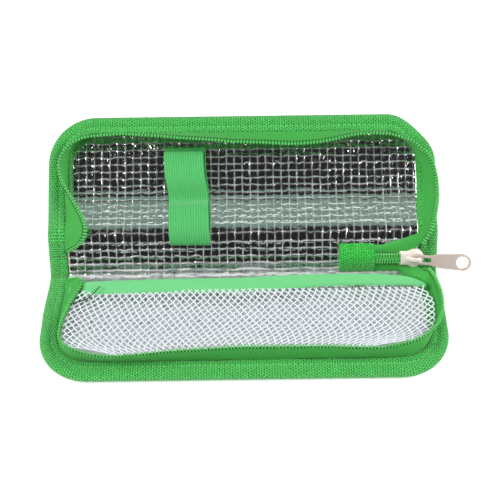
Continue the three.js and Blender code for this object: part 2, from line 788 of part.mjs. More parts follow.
// Pull tab: flat plate with a slot that hangs round the crown and a round hole at its end
const pull = new THREE.Group();
pull.position.set(pullAxis[0], 0, pullAxis[1]);
slider.add(pull);
function pullGeometry() {
  const slotHalf = crownWidth / 2 + pullSlotClearance;
  const root = -pullBar / 2;
  const end = pullLength + root;
  const endRadius = pullEndWidth / 2;
  const shape = new THREE.Shape();
  const ease = pullThick / 2;
  shape.moveTo(root, -pullRootWidth / 2 + ease);
  shape.lineTo(root + ease, -pullRootWidth / 2);
  shape.lineTo(end - endRadius, -endRadius);
  shape.absarc(end - endRadius, 0, endRadius, -Math.PI / 2, Math.PI / 2, false);
  shape.lineTo(root + ease, pullRootWidth / 2);
  shape.lineTo(root, pullRootWidth / 2 - ease);
  const slot = new THREE.Path();
  slot.moveTo(pullBar / 2, -slotHalf);
  slot.lineTo(pullBar / 2 + pullSlotLength, -slotHalf);
  slot.lineTo(pullBar / 2 + pullSlotLength, slotHalf);
  slot.lineTo(pullBar / 2, slotHalf);
  shape.holes.push(slot);
  const hole = new THREE.Path();
  hole.absarc(end - pullHoleFromEnd, 0, pullHole / 2, 0, 2 * Math.PI, true);
  shape.holes.push(hole);
  const bevel = pullThick / 6;
  const geometry = new THREE.ExtrudeGeometry(shape, {
    depth: pullThick - 2 * bevel,
    bevelEnabled: true,
    bevelThickness: bevel,
    bevelSize: bevel,
    bevelOffset: -bevel,
    bevelSegments: 1,
    curveSegments: 12,
  });
  geometry.translate(0, 0, bevel - pullThick / 2);
  return fromSolid(toSolid(geometry));
}
piece('pull_tab', pullGeometry(), zinc, pull);

// Zip turns: the open tape halves that leave the slider's nose towards the lid and the base
const turnStart = sliderRear + sliderLength + sliderGap;
const turnRadius = 4.2;
const turnEndMargin = foldEnd + layerGap;
const turnSteps = 6;
const turnTape = 4.4;
const turnLow = panelThick + layerGap;
function zipTurn(sign) {
  const offset = sliderNoseWidth / 2 + tapeThick / 2;
  const limit = sign > 0 ? spineWidth - zipLine - turnEndMargin : zipLine - turnEndMargin;
  const path = [];
  for (let i = 0; i <= turnSteps; i += 1) {
    const angle = (quarterTurn * degrees * i) / turnSteps;
    const radius = Math.min(turnRadius, limit - offset - tapeThick);
    path.push({
      u: turnStart + radius * Math.sin(angle),
      v: offset + radius * (1 - Math.cos(angle)),
      out: [Math.sin(angle), -Math.cos(angle)],
    });
  }
  path.push({ ...path[turnSteps], v: limit });
  const coilOut = coilWaist / 2;
  const shoulder = turnLow + turnTape - coilHeight;
  const section = [
    [-tapeThick / 2, turnLow], [tapeThick / 2, turnLow], [tapeThick / 2, shoulder],
    [coilOut, shoulder + coilWaist / 2], [coilOut, turnLow + turnTape], [-coilOut, turnLow + turnTape],
    [-coilOut, shoulder + coilWaist / 2], [-tapeThick / 2, shoulder],
  ];
  const rows = path.map(({ u, v, out }) =>
    section.map(([t, w]) => [u + t * out[0], sign * (v + t * out[1]), w]));
  return loft(rows, profileCaps(section));
}
piece('zip_turn_lid', zipTurn(1), greens.tape, zipEnd);
piece('zip_turn_base', zipTurn(-1), greens.tape, zipEnd);

export default insulatedCase;
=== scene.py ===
"""Dresses the soft insulated pen case for rendering: fabric, foil, zip, net, elastic and studio light."""

import math

import bpy
import numpy as np
from mathutils import Matrix


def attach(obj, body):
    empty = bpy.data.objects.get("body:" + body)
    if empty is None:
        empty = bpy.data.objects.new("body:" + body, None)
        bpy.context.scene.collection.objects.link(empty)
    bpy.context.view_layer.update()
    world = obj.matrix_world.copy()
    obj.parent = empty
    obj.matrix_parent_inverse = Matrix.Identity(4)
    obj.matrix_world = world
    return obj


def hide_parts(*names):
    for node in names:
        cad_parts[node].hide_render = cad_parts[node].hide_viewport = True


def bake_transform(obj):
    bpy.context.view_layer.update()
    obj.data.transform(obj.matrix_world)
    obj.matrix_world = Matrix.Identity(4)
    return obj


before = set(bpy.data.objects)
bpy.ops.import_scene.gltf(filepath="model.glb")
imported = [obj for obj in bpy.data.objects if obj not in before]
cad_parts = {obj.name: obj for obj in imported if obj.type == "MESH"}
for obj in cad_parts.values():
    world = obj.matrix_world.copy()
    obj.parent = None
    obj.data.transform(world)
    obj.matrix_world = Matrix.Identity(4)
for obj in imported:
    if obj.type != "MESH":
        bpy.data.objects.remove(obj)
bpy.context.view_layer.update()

# One millimetre in Blender's metres: every size below is in millimetres
MM = 0.001

# Sizes of the case, as in its solids
HALF = 100.0
BASE_DEPTH = 62.0
LID_DEPTH = 63.0
SPINE = 23.0
CORNER = 25.0
PINCH = 1.5
PINCH_REACH = 26.0
THICK = 4.9
MID = THICK / 2
SHIFT = BASE_DEPTH / 2
SPINE_RISE = math.radians(58)
LID_RISE = math.radians(6)
BEND = math.radians(26)
BEND_START = 14.0
BEND_LENGTH = 14.0
FOLD = 3.0
SEAM = SPINE / 2
LID_END = SPINE + LID_DEPTH

# How far in from the edge the grids of cloth start, the seam runs and the zip's walls stand
HEM = 6.0
STITCH_INSET = 6.1
WALL_INSET = 8.9


# Places on the case: u along it, s from the base's front over both folds to the lid, w above the outside
def base_place(u, s, w):
    return np.stack([u, SHIFT + s, w], -1)


def spine_place(u, s, w):
    cos, sin = math.cos(SPINE_RISE), math.sin(SPINE_RISE)
    return np.stack([u, SHIFT + s * cos - (w - MID) * sin, MID + s * sin + (w - MID) * cos], -1)


def lid_place(u, s, w):
    v = s - SPINE
    radius = BEND_LENGTH / BEND
    turn = np.clip((v - BEND_START) / BEND_LENGTH, 0, 1) * BEND
    beyond = np.maximum(0, v - BEND_START - BEND_LENGTH)
    reach = radius - (w - THICK)
    y = np.minimum(v, BEND_START) + reach * np.sin(turn) + beyond * np.cos(turn)
    z = MID + radius - reach * np.cos(turn) + beyond * np.sin(turn)
    fold = spine_place(0.0, SPINE, MID)
    cos, sin = math.cos(LID_RISE), math.sin(LID_RISE)
    return np.stack([u, fold[1] + y * cos - z * sin, fold[2] + y * sin + z * cos], -1)


def round_fold(u, past, w, corner, before, after):
    """Points within FOLD mm of a fold, on a parabola from one flat panel to the next."""
    first = before(0.0, corner - FOLD, MID)[1:]
    middle = after(0.0, corner, MID)[1:]
    last = after(0.0, corner + FOLD, MID)[1:]
    t = ((past + FOLD) / (2 * FOLD))[:, None]
    point = (1 - t) ** 2 * first + 2 * t * (1 - t) * middle + t**2 * last
    along = unit((1 - t) * (middle - first) + t * (last - middle))
    outward = np.stack([-along[:, 1], along[:, 0]], -1)
    return np.concatenate([u[:, None], point + outward * (w - MID)[:, None]], 1)


def place(u, s, w):
    """Point in mm on the whole case, with both folds rounded over FOLD mm on each side."""
    u, s, w = (np.asarray(a, float) for a in np.broadcast_arrays(u, s, w))
    lower = np.where((s < 0)[..., None], base_place(u, s, w), spine_place(u, s, w))
    upper = np.where((s < SPINE)[..., None], spine_place(u, s, w), lid_place(u, s, w))
    out = np.where((s < SEAM)[..., None], lower, upper)
    for corner, before, after in ((0.0, base_place, spine_place), (SPINE, spine_place, lid_place)):
        near = np.abs(s - corner) < FOLD
        if near.any():
            out[near] = round_fold(u[near], s[near] - corner, w[near], corner, before, after)
    return out


def half_at(s):
    """Half the case's length at s, drawn in at the waist."""
    away = np.where(s < 0, -s, np.maximum(0, s - SPINE))
    return HALF - PINCH * (1 - smooth(away / PINCH_REACH))


def edge_inset(u, s):
    """Distance in from the case's edge."""
    side = half_at(s) - np.abs(u)
    end = np.minimum(s + BASE_DEPTH, LID_END - s)
    du, ds = CORNER - side, CORNER - end
    round_off = CORNER - np.hypot(np.maximum(du, 0), np.maximum(ds, 0))
    return np.where((du > 0) & (ds > 0), round_off, np.minimum(side, end))


# Curves and noise
def smooth(x):
    x = np.clip(x, 0, 1)
    return x * x * (3 - 2 * x)


def hump(x, middle, reach):
    """Soft hump of height 1 at the middle."""
    return np.exp(-(((x - middle) / reach) ** 2))


def unit(v):
    return v / np.maximum(np.linalg.norm(v, axis=-1, keepdims=True), 1e-9)


NOISE_STEPS = 128


def noise(x, y, seed):
    """Smooth noise from -1 to 1, with a new random value at each whole step of x and y."""
    values = np.random.default_rng(seed).uniform(-1, 1, (NOISE_STEPS, NOISE_STEPS))
    x, y = np.broadcast_arrays(np.asarray(x, float), np.asarray(y, float))
    i, j = np.floor(x).astype(int), np.floor(y).astype(int)
    a, b = smooth(x - i), smooth(y - j)
    left, right = i % NOISE_STEPS, (i + 1) % NOISE_STEPS
    front, back = j % NOISE_STEPS, (j + 1) % NOISE_STEPS
    low = values[left, front] * (1 - a) + values[right, front] * a
    high = values[left, back] * (1 - a) + values[right, back] * a
    return low * (1 - b) + high * b


def spline(points, count):
    """Even Catmull-Rom curve through points of any width."""
    p = np.asarray(points, float)
    p = np.vstack([2 * p[0] - p[1], p, 2 * p[-1] - p[-2]])
    t = np.linspace(0, len(p) - 3 - 1e-9, count)
    i = t.astype(int)
    f = (t - i)[:, None]
    a, b, c, d = (p[i + k] for k in range(4))
    return 0.5 * (2 * b + (c - a) * f + (2 * a - 5 * b + 4 * c - d) * f**2 + (3 * b - a - 3 * c + d) * f**3)


def smooth_table(pairs):
    """Smooth function through (place, value) pairs."""
    line = spline(sorted(pairs), 400)
    return lambda a: np.interp(a, line[:, 0], line[:, 1])


def run_along(points):
    """Distance along a line of points, from 0 at its first."""
    return np.concatenate([[0], np.cumsum(np.linalg.norm(np.diff(points, axis=0), axis=1))])


def around(section):
    """Distance round a closed section at each of its points, and once more at its first."""
    return run_along(section + section[:1])


def sample(values, run, spots):
    """Rows of values, known at each place of run, worked out at each of the spots."""
    return np.stack([np.interp(spots, run, column) for column in values.T], -1)


# Meshes from points in millimetres
def linked(name, data):
    obj = bpy.data.objects.new(name, data)
    bpy.context.collection.objects.link(obj)
    return obj


def plain_object(name, points, faces):
    mesh = bpy.data.meshes.new(name)
    mesh.from_pydata((points * MM).tolist(), [], faces)
    mesh.polygons.foreach_set("use_smooth", np.ones(len(mesh.polygons), bool))
    return linked(name, mesh)


def uv_grid(along, across):
    """UV places in mm for a grid of points, from a distance for each row and one for each column."""
    return np.stack(np.broadcast_arrays(np.asarray(along)[:, None], np.asarray(across)[None, :]), -1)


def grid_object(name, grid, uv=None, closed=False, keep=None, yarn=None, sharp=None):
    """Sheet through rows of points, or where it is closed a tube round them with both ends filled."""
    rows, cols = grid.shape[:2]
    i, j = np.meshgrid(np.arange(rows - 1), np.arange(cols if closed else cols - 1), indexing="ij")
    if keep is not None:
        i, j = i[keep], j[keep]
    i, j = i.ravel(), j.ravel()
    after, start, end = (j + 1) % cols, i * cols, (i + 1) * cols
    faces = np.stack([start + j, start + after, end + after, end + j], -1).tolist()
    if closed:
        faces.append(list(range(cols))[::-1])
        faces.append(list(range((rows - 1) * cols, rows * cols)))
    obj = plain_object(name, grid.reshape(-1, 3), faces)
    if uv is not None:
        row, col = np.stack([i, i, i + 1, i + 1], -1).ravel(), np.stack([j, j + 1, j + 1, j], -1).ravel()
        corners = np.zeros((len(obj.data.loops), 2))
        corners[: len(row)] = uv[row, col] * MM
        obj.data.uv_layers.new(name="UVMap").data.foreach_set("uv", corners.ravel())
    # The yarn attribute holds where yarn and painted glints show.
    if yarn is not None:
        yarn_and_glint = obj.data.attributes.new("yarn", "FLOAT", "POINT")
        yarn_and_glint.data.foreach_set("value", yarn.ravel().astype(np.float32))
    if sharp:
        obj.data.set_sharp_from_angle(angle=math.radians(sharp))
    obj.data.validate()
    obj.data.update()
    return obj


def tube_faces(start, rows, sides):
    """Faces of a closed tube whose rings of points follow each other from one index on."""
    faces = []
    for row in range(rows - 1):
        for k in range(sides):
            a, b = start + row * sides + k, start + row * sides + (k + 1) % sides
            faces.append((a, b, b + sides, a + sides))
    last = start + (rows - 1) * sides
    faces.append(tuple(range(start, start + sides))[::-1])
    faces.append(tuple(range(last, last + sides)))
    return faces


def circle(sides):
    return np.linspace(0, 2 * math.pi, sides, endpoint=False)


def rings(side, up, sides):
    """Round ring of points for each station, from its two directions across."""
    angles = circle(sides)[None, :, None]
    return side[:, None] * np.cos(angles) + up[:, None] * np.sin(angles)


def tubes(name, lines, radius, sides=6):
    """One mesh of strands along lines of points."""
    points, faces, start = [], [], 0
    for line in lines:
        along = unit(np.gradient(line, axis=0))
        side = unit(np.cross(along, [0, 0, 1]))
        ring = rings(side, np.cross(side, along), sides)
        points.append((line[:, None] + ring * radius).reshape(-1, 3))
        faces += tube_faces(start, len(line), sides)
        start += len(line) * sides
    return plain_object(name, np.concatenate(points), faces)


# Rings of a short thread: its share of the length, its share of the radius, and its lift in radii
CAPSULE = [
    (0.0, 0.25, -0.3), (0.0, 0.75, -0.05), (0.15, 1.0, 0.1), (0.5, 1.05, 0.2),
    (0.85, 1.0, 0.1), (1.0, 0.75, -0.05), (1.0, 0.25, -0.3),
]
CAPSULE_SIDES = 8


def capsules(name, starts, ends, radius, lift=1.0):
    """One mesh of short rounded threads from start to end."""
    along = unit(ends - starts)
    side = unit(np.cross(along, np.array([0.1, 0.2, 1.0])))
    ring = rings(side, np.cross(along, side), CAPSULE_SIDES) * radius
    rows = [
        (starts + (ends - starts) * share + np.array([0, 0, lift * rise * radius]))[:, None] + ring * size
        for share, size, rise in CAPSULE
    ]
    faces = []
    for n in range(len(starts)):
        faces += tube_faces(n * len(CAPSULE) * CAPSULE_SIDES, len(CAPSULE), CAPSULE_SIDES)
    return plain_object(name, np.stack(rows, 1).reshape(-1, 3), faces)


# Folds between two bodies: the place s of each, and the bodies before and after it
FOLDS = {"lower": (0.0, "base", "spine"), "upper": (SPINE, "spine", "lid")}
BLEND_REACH = FOLD + 1


def dress(obj, material, slot, *nodes, body=None, bend=None):
    """Gives a piece its finish and hides the nodes that it stands for; ties it to its body, or at a fold
    bakes it in place.
    """
    obj.data.materials.append(material)
    if nodes:
        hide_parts(*nodes)
    if bend:
        corner, before, after = FOLDS[bend]
        start, end = place(0, [corner - BLEND_REACH, corner + BLEND_REACH], MID) * MM
        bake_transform(obj)
    else:
        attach(obj, body)
    return obj


# Materials
def new_material(name, color, rough, metal=0.0, **sockets):
    mat = bpy.data.materials.new(name)
    mat.use_nodes = True
    shader = mat.node_tree.nodes["Principled BSDF"]
    shader.inputs["Base Color"].default_value = (*color, 1)
    shader.inputs["Roughness"].default_value = rough
    shader.inputs["Metallic"].default_value = metal
    for key, value in sockets.items():
        shader.inputs[key.replace("_", " ")].default_value = value
    mat.diffuse_color = (*color, 1)
    return mat


def math_node(tree, operation, *operands):
    node = tree.nodes.new("ShaderNodeMath")
    node.operation = operation
    for socket, value in zip(node.inputs, operands):
        if isinstance(value, (int, float)):
            socket.default_value = value
        else:
            tree.links.new(value, socket)
    return node.outputs[0]


def wave(tree, coordinate, pitch):
    """Sine of a UV coordinate, with a pitch in mm."""
    return math_node(tree, "SINE", math_node(tree, "MULTIPLY", coordinate, 2 * math.pi / (pitch * MM)))


def uv_axes(tree):
    uv = tree.nodes.new("ShaderNodeUVMap")
    uv.uv_map = "UVMap"
    split = tree.nodes.new("ShaderNodeSeparateXYZ")
    tree.links.new(uv.outputs[0], split.inputs[0])
    return split.outputs[0], split.outputs[1]


def noise_node(tree, scale):
    coords = tree.nodes.new("ShaderNodeTexCoord")
    node = tree.nodes.new("ShaderNodeTexNoise")
    node.inputs["Scale"].default_value = scale
    node.inputs["Detail"].default_value = 2.0
    tree.links.new(coords.outputs["Object"], node.inputs["Vector"])
    return node.outputs["Fac"]


def add_bump(tree, height, strength, distance):
    bump = tree.nodes.new("ShaderNodeBump")
    bump.inputs["Strength"].default_value = strength
    bump.inputs["Distance"].default_value = distance * MM
    tree.links.new(height, bump.inputs["Height"])
    tree.links.new(bump.outputs[0], tree.nodes["Principled BSDF"].inputs["Normal"])


def paint_crevice_shade(tree, height, color, dark):
    """Painted shade in a weave's hollows: colour that darkens where a height, from about -1 to 1, is low."""
    mix = tree.nodes.new("ShaderNodeMix")
    mix.data_type = "RGBA"
    mix.clamp_factor = True
    mix.inputs["A"].default_value = (*dark, 1)
    mix.inputs["B"].default_value = (*color, 1)
    tree.links.new(math_node(tree, "MULTIPLY_ADD", height, 0.5, 0.5), mix.inputs["Factor"])
    tree.links.new(mix.outputs["Result"], tree.nodes["Principled BSDF"].inputs["Base Color"])


# Grains of cloth and of film in one metre
CLOTH_GRAINS = 900.0
FILM_GRAINS = 800.0


def woven(name, color, dark, rib, cross, depth=0.2, rough=0.75, sheen=0.2, plain=0.3, pairs=0.5, grain=0.7):
    """Cloth with plain ribs of one pitch, pairs of dashes that alternate across them, and grain."""
    mat = new_material(name, color, rough, Sheen_Weight=sheen, Sheen_Roughness=0.5)
    tree = mat.node_tree
    x, y = uv_axes(tree)
    ribs = math_node(tree, "MULTIPLY", wave(tree, x, rib), plain)
    dashes = math_node(tree, "MULTIPLY", wave(tree, x, 2 * rib), wave(tree, y, cross))
    weave = math_node(tree, "ADD", ribs, math_node(tree, "MULTIPLY", dashes, pairs))
    centred = math_node(tree, "SUBTRACT", noise_node(tree, CLOTH_GRAINS), 0.5)
    height = math_node(tree, "ADD", weave, math_node(tree, "MULTIPLY", centred, 2 * grain))
    add_bump(tree, height, 1.0, depth)
    # Painted shade: the colour darkens in the weave's hollows, and varies at random with its grain.
    paint_crevice_shade(tree, height, color, dark)
    return mat


def foil_material():
    """Metallised film: a mirror in its squares, with pale yarn under the film and pale, dull painted glints.
    """
    mat = new_material("foil", (0.68, 0.68, 0.69), 0.15, metal=1.0)
    tree = mat.node_tree
    shader = tree.nodes["Principled BSDF"]
    yarn = tree.nodes.new("ShaderNodeAttribute")
    yarn.attribute_name = "yarn"
    yarn_and_glint = yarn.outputs["Fac"]
    tree.links.new(math_node(tree, "MULTIPLY_ADD", yarn_and_glint, 0.30, 0.14), shader.inputs["Roughness"])
    tree.links.new(math_node(tree, "MULTIPLY_ADD", yarn_and_glint, -0.85, 1.0), shader.inputs["Metallic"])
    add_bump(tree, noise_node(tree, FILM_GRAINS), 0.22, 0.3)
    return mat


# Each cloth's second colour is the painted shade of its weave's hollows.
BINDING = woven(
    "binding", (0.092, 0.76, 0.124), (0.006, 0.17, 0.012), 1.25, 1.4, depth=0.42, plain=0.5, pairs=0.65
)
SHELL = woven("shell", (0.055, 0.44, 0.07), (0.02, 0.25, 0.03), 1.0, 1.3)
TAPE = woven("tape", (0.039, 0.385, 0.046), (0.026, 0.315, 0.033), 0.9, 0.7, depth=0.06, sheen=0.1, grain=0.4)
RIBBED = {"rib": 1.25, "cross": 1.6, "depth": 0.1, "plain": 0.8, "pairs": 0.1, "grain": 0.3}
ELASTIC = woven("elastic", (0.076, 0.51, 0.137), (0.040, 0.34, 0.073), **RIBBED)
# Painted shade: the loops' back layer is a darker copy of the front's elastic.
SHADED_ELASTIC = woven("elastic_painted_shade", (0.03, 0.36, 0.07), (0.015, 0.22, 0.035), **RIBBED)
BAND = woven("band", (0.152, 0.58, 0.222), (0.115, 0.50, 0.17), 0.9, 0.9, depth=0.05, grain=0.3)
TAB = woven("tab", (0.033, 0.82, 0.066), (0.008, 0.25, 0.017), 1.3, 1.3, depth=0.6, rough=0.28, sheen=0.1)
CORD = new_material("cord", (0.02, 0.20, 0.03), 0.5)
COIL = new_material("coil", (0.082, 0.50, 0.092), 0.36)
NET = new_material("net", (0.76, 0.78, 0.85), 0.5)
METAL = new_material("zinc", (0.71, 0.585, 0.535), 0.36, metal=0.35)
# Painted highlight: the slider's zinc is a lighter copy of the pull's.
SLIDER_ZINC_PAINTED_LIGHT = new_material("slider_zinc_painted_light", (0.88, 0.78, 0.72), 0.5, metal=0.15)
THREAD = new_material("thread", (0.13, 0.62, 0.15), 0.5)
# Near black, for the loose thread and for the coil seams, where it is painted shade.
DARK_THREAD_AND_SHADE = new_material("dark_thread_and_shade", (0.006, 0.06, 0.010), 0.6)
FOAM = new_material("foam", (0.9, 0.9, 0.87), 0.9)
FOIL = foil_material()

# Foil lining, quilted by a square grid of yarn
CELL_U, CELL_S = 4.0, 3.75
POINTS_PER_CELL = 13
YARN_U, YARN_S = 0.28, 0.27
RIDGE_U, RIDGE_S = 0.13, 0.22
FOIL_CUT = 8.6
FOIL_RISES_FROM = 8.4
FOIL_SLOPE, FOIL_SLOPE_LEFT = 2.6, 5.5
FOIL_LEVEL, FOIL_RISE = 3.9, 1.25
LID_LEFT_END = -80
LID_SLOPE_FROM = 27
LID_BEND_AT = 32
CRUMPLED_FROM = 58


def yarn_ridges(u, s, bend):
    """Share of the full ridge over the yarn up the case and along it, and how far the film sags between."""
    k = np.round(u / CELL_U)
    j = np.round((s - SEAM) / CELL_S)
    du = u - k * CELL_U - 0.18 * noise(s / 2.6, k * 3.7, 11)
    ds = s - SEAM - j * CELL_S - 0.45 * noise(u / 2.6, j * 5.3, 12)
    up = hump(du, 0, YARN_U) * (0.75 + 0.55 * noise(s / 1.9, k * 2.1, 13))
    along = hump(ds, 0, YARN_S) * (0.85 + 0.55 * noise(u / 1.7, j * 4.1, 14))
    along *= 1 - bend * (0.35 + 0.35 * noise(u / 1.7, j * 7.7, 29))
    sag = np.cos(math.pi * du / CELL_U) ** 2 * 0.5 + np.cos(math.pi * ds / CELL_S) ** 2 * (1 - 0.6 * bend)
    return up, along, sag


def cell_relief(u, s):
    """Each square's own tilt and creases, which fade out towards its yarn."""
    a, b = np.floor(u / CELL_U), np.floor((s - SEAM) / CELL_S)
    fu, fs = u / CELL_U - a, (s - SEAM) / CELL_S - b
    inside = smooth(np.minimum(fu, 1 - fu) / 0.25) * smooth(np.minimum(fs, 1 - fs) / 0.25)
    tilt_u = noise(a * 7.31, b * 3.17, 15) * (fu - 0.5)
    tilt_s = 1.3 * noise(a * 2.77, b * 9.13, 16) * (fs - 0.5)
    crumple = 1.15 + 3.0 * smooth((s - CRUMPLED_FROM) / 10) * np.abs(noise(u / 11, s / 15, 20))
    crease = 0.09 * np.abs(noise(u / 1.6 + 3, s / 1.3, 17)) + 0.035 * np.abs(noise(u / 0.8, s / 0.7, 18))
    return (0.16 * (tilt_u + tilt_s) + crease * crumple) * inside


def wide_waves(u, s):
    """Long soft waves of the whole film, and the short ones of the fold at the pocket's back."""
    wrinkles = 0.30 * noise(u / 6, s / 1.7, 23) + 0.10 * noise(u / 1.9, s / 0.9, 24)
    return 0.10 * noise(u / 24, s / 11, 19) + hump(s, 1.5, 4.5) * wrinkles


def painted_glints(u, s):
    """Painted glints and reflection: pale, dull film at the lower fold, on two creases above it and in the
    pocket.
    """
    painted_shine = hump(s, -0.8, 2.6) * (0.75 + 0.6 * noise(u / 2.2, s / 0.9, 25))
    for row, reach in ((4.0, 0.5), (7.6, 0.45)):
        crease = hump(s, row + 0.5 * noise(u / 4, row, 26), reach)
        painted_shine = np.maximum(painted_shine, crease * (0.7 + 0.7 * noise(u / 5, row, 27)))
    # Painted reflection: the film under the net is paler, more so towards the front.
    pocket = 0.62 + 0.25 * smooth((-s - 25) / 20) + 0.45 * noise(u / 1.3, s / 1.1, 28)
    return np.maximum(painted_shine, smooth((-s - 9) / 5) * pocket)


def foil_form(u, s):
    """Height of the film over the foam in mm, and how much yarn and painted glint shows."""
    bend = hump(s, LID_BEND_AT, 9)
    up, along, sag = yarn_ridges(u, s, bend)
    ridges = RIDGE_U * up + RIDGE_S * (1 - 0.5 * bend) * along
    height = ridges - 0.13 * (1.5 - sag) + cell_relief(u, s) + wide_waves(u, s)
    # Painted highlight: the yarn shows paler over the spine.
    yarn_and_glint = 0.45 + 0.4 * hump(s, 11, 9)
    return height, np.clip(np.maximum.reduce([yarn_and_glint * up, yarn_and_glint * along, painted_glints(u, s)]), 0, 1)


def cell_means(values):
    """Mean of the four corners of each cell of a grid."""
    return (values[:-1, :-1] + values[1:, :-1] + values[:-1, 1:] + values[1:, 1:]) / 4


def lining(name, low, high):
    """Foil that starts under the walls' roots and rises over the foam, slower at the lid's left end."""
    cols = int(round(2 * HALF / CELL_U * POINTS_PER_CELL)) + 1
    rows = int(round((high - low) / CELL_S * POINTS_PER_CELL)) + 1
    u, s = np.meshgrid(np.linspace(-HALF, HALF, cols), np.linspace(low, high, rows))
    height, yarn = foil_form(u, s)
    inset = edge_inset(u, s)
    at_left = (u < LID_LEFT_END) & (s > LID_SLOPE_FROM)
    risen = smooth((inset - FOIL_RISES_FROM) / np.where(at_left, FOIL_SLOPE_LEFT, FOIL_SLOPE))
    w = FOIL_LEVEL + height * (0.25 + 0.75 * risen) + FOIL_RISE * risen
    return grid_object(name, place(u, s, w), keep=cell_means(inset) > FOIL_CUT, yarn=yarn)


dress(lining("lining_lower", -BASE_DEPTH + HEM, SEAM), FOIL, "foil", "base_lining", bend="lower")
dress(lining("lining_upper", SEAM, LID_END - HEM), FOIL, "foil", "spine_lining", "lid_lining", bend="upper")


# Edge paths: from the spine's left end round one half to the spine's right end
RIGHT_CORNER_CUT = 2.1


def edge_path(lower, step, from_side=SEAM):
    """Stations (kind, side, value) round one half's edge, where its corners start, and its direction."""
    sign = -1 if lower else 1
    flat = (BASE_DEPTH if lower else LID_DEPTH) - CORNER
    far = (0 if lower else SPINE) + sign * flat

    def even(start, end, length):
        return np.linspace(start, end, max(2, int(abs(length) / step)))

    across = 2 * (HALF - CORNER)
    arc = even(0, 90, CORNER * math.pi / 2)[1:]
    stations = [("side", -1, s) for s in even(from_side, far, far - from_side)]
    stations += [("arc", -1, angle) for angle in arc]
    stations += [("front", 1, u) for u in even(-across / 2, across / 2, across)[1:]]
    stations += [("arc", 1, 90 - angle) for angle in arc[:-1]]
    stations += [("side", 1, s) for s in even(far, from_side, far - from_side)]
    return stations, far, sign


def at_inset(path, inset):
    """Points (u, s) of a path at one inset, or at one for each station."""
    stations, far, sign = path
    out = []
    for (kind, side, value), d in zip(stations, np.broadcast_to(inset, len(stations))):
        if kind == "side":
            out.append((side * (float(half_at(value)) - d), value))
        elif kind == "arc":
            turn = math.radians(value)
            cut = RIGHT_CORNER_CUT * math.sin(2 * turn) ** 2 if side > 0 and sign > 0 else 0
            reach = CORNER - d - cut
            out.append((side * (HALF - CORNER + reach * math.cos(turn)), far + sign * reach * math.sin(turn)))
        else:
            out.append((value, far + sign * (CORNER - d)))
    return np.array(out)


BINDING_SECTION = [
    (9.3, 4.7), (9.0, 5.15), (8.3, 5.4), (7.3, 5.3), (6.5, 5.0), (6.1, 4.8), (5.7, 5.0), (4.7, 5.4),
    (3.4, 5.4), (2.2, 5.1), (1.2, 4.5), (0.45, 3.7), (0.05, 2.7), (0.1, 1.7), (0.6, 0.8), (1.6, 0.2),
    (3.2, 0.05), (6.0, 0.04), (9.0, 0.03), (9.4, 0.6), (9.4, 2.5),
]
BINDING_MIDDLE = 4.0
LOWEST = 0.03
STITCH_PITCH, STITCH_LONG = 2.7, 1.8
STITCH_LEVEL, STITCH_RADIUS = 4.85, 0.24


def binding(name, lower):
    """Woven tape rolled round the edge: a section of (inset, w) points swept along the edge."""
    path = edge_path(lower, 1.0)
    run = run_along(at_inset(path, BINDING_MIDDLE))
    rows = []
    for d, w in BINDING_SECTION:
        top = np.clip((w - 3.0) / 2.0, 0, 1)
        wobble = 0.22 * noise(run / 9, d / 3, 21) * top
        us = at_inset(path, d + 0.25 * noise(run / 14, 0.3, 22) * (d > 8) * top)
        rows.append(place(us[:, 0], us[:, 1], np.maximum(w + wobble, LOWEST)))
    return grid_object(name, np.stack(rows, 1), uv=uv_grid(run, around(BINDING_SECTION)), closed=True)


def stitches(name, lower):
    """Seam that holds the binding: dashes that sink at both ends."""
    us = at_inset(edge_path(lower, 0.5), STITCH_INSET)
    run = run_along(us)
    starts = np.arange(1.0, run[-1] - STITCH_LONG, STITCH_PITCH)
    ends = []
    for spots in (starts, starts + STITCH_LONG):
        u, s = sample(us, run, spots).T
        ends.append(place(u, s, STITCH_LEVEL + 0.2 * noise(spots / 9, 2.0, 21)))
    return capsules(name, *ends, STITCH_RADIUS)


BOUND_ABOVE = ["lid_binding", "spine_binding_left", "spine_binding_right"]
dress(binding("binding_lower", True), BINDING, "binding", "base_binding", bend="lower")
dress(binding("binding_upper", False), BINDING, "binding", *BOUND_ABOVE, bend="upper")
dress(stitches("binding_stitches_lower", True), THREAD, "binding", bend="lower")
dress(stitches("binding_stitches_upper", False), THREAD, "binding", bend="upper")


# Outer fabric, softly padded between the bindings
SHELL_LEVEL, SHELL_PUFF, SHELL_LOWEST = 0.4, 0.35, 0.02
SHELL_CUT = 6.6


def shell(name, low, high):
    u, s = np.meshgrid(np.linspace(-HALF + HEM, HALF - HEM, 190), np.linspace(low, high, 80))
    inset = edge_inset(u, s)
    waves = 0.05 * noise(u / 18, s / 14, 31) * smooth((inset - 8) / 6)
    w = SHELL_LEVEL - SHELL_PUFF * smooth((inset - 7.5) / 5) + waves
    grid = place(u, s, np.maximum(w, SHELL_LOWEST))
    return grid_object(name, grid, uv=np.stack([u, s], -1), keep=cell_means(inset) > SHELL_CUT)


outer = dress(shell("shell_lower", -BASE_DEPTH + HEM, SEAM), SHELL, "shell", "base_shell", bend="lower")
outer = shell("shell_upper", SEAM, LID_END - HEM)
dress(outer, SHELL, "shell", "lid_shell", "spine_shell", bend="upper")

# Ribbons and coils of the zip
COIL_PITCH = 1.62
COIL_TALL = 1.9
COIL_REACH, COIL_DEEP = 1.2, 0.85
COIL_OFFSET = 0.25
COIL_RINGS, COIL_SIDES = 7, 10
SEAM_DASH, SEAM_RADIUS, SEAM_GAP = 0.85, 0.27, 0.15
CORD_OFFSET = 0.1
TAPE_THICK = 0.55
SKIRT_INSET = 10.6
SKIRT_LEVEL = 4.7


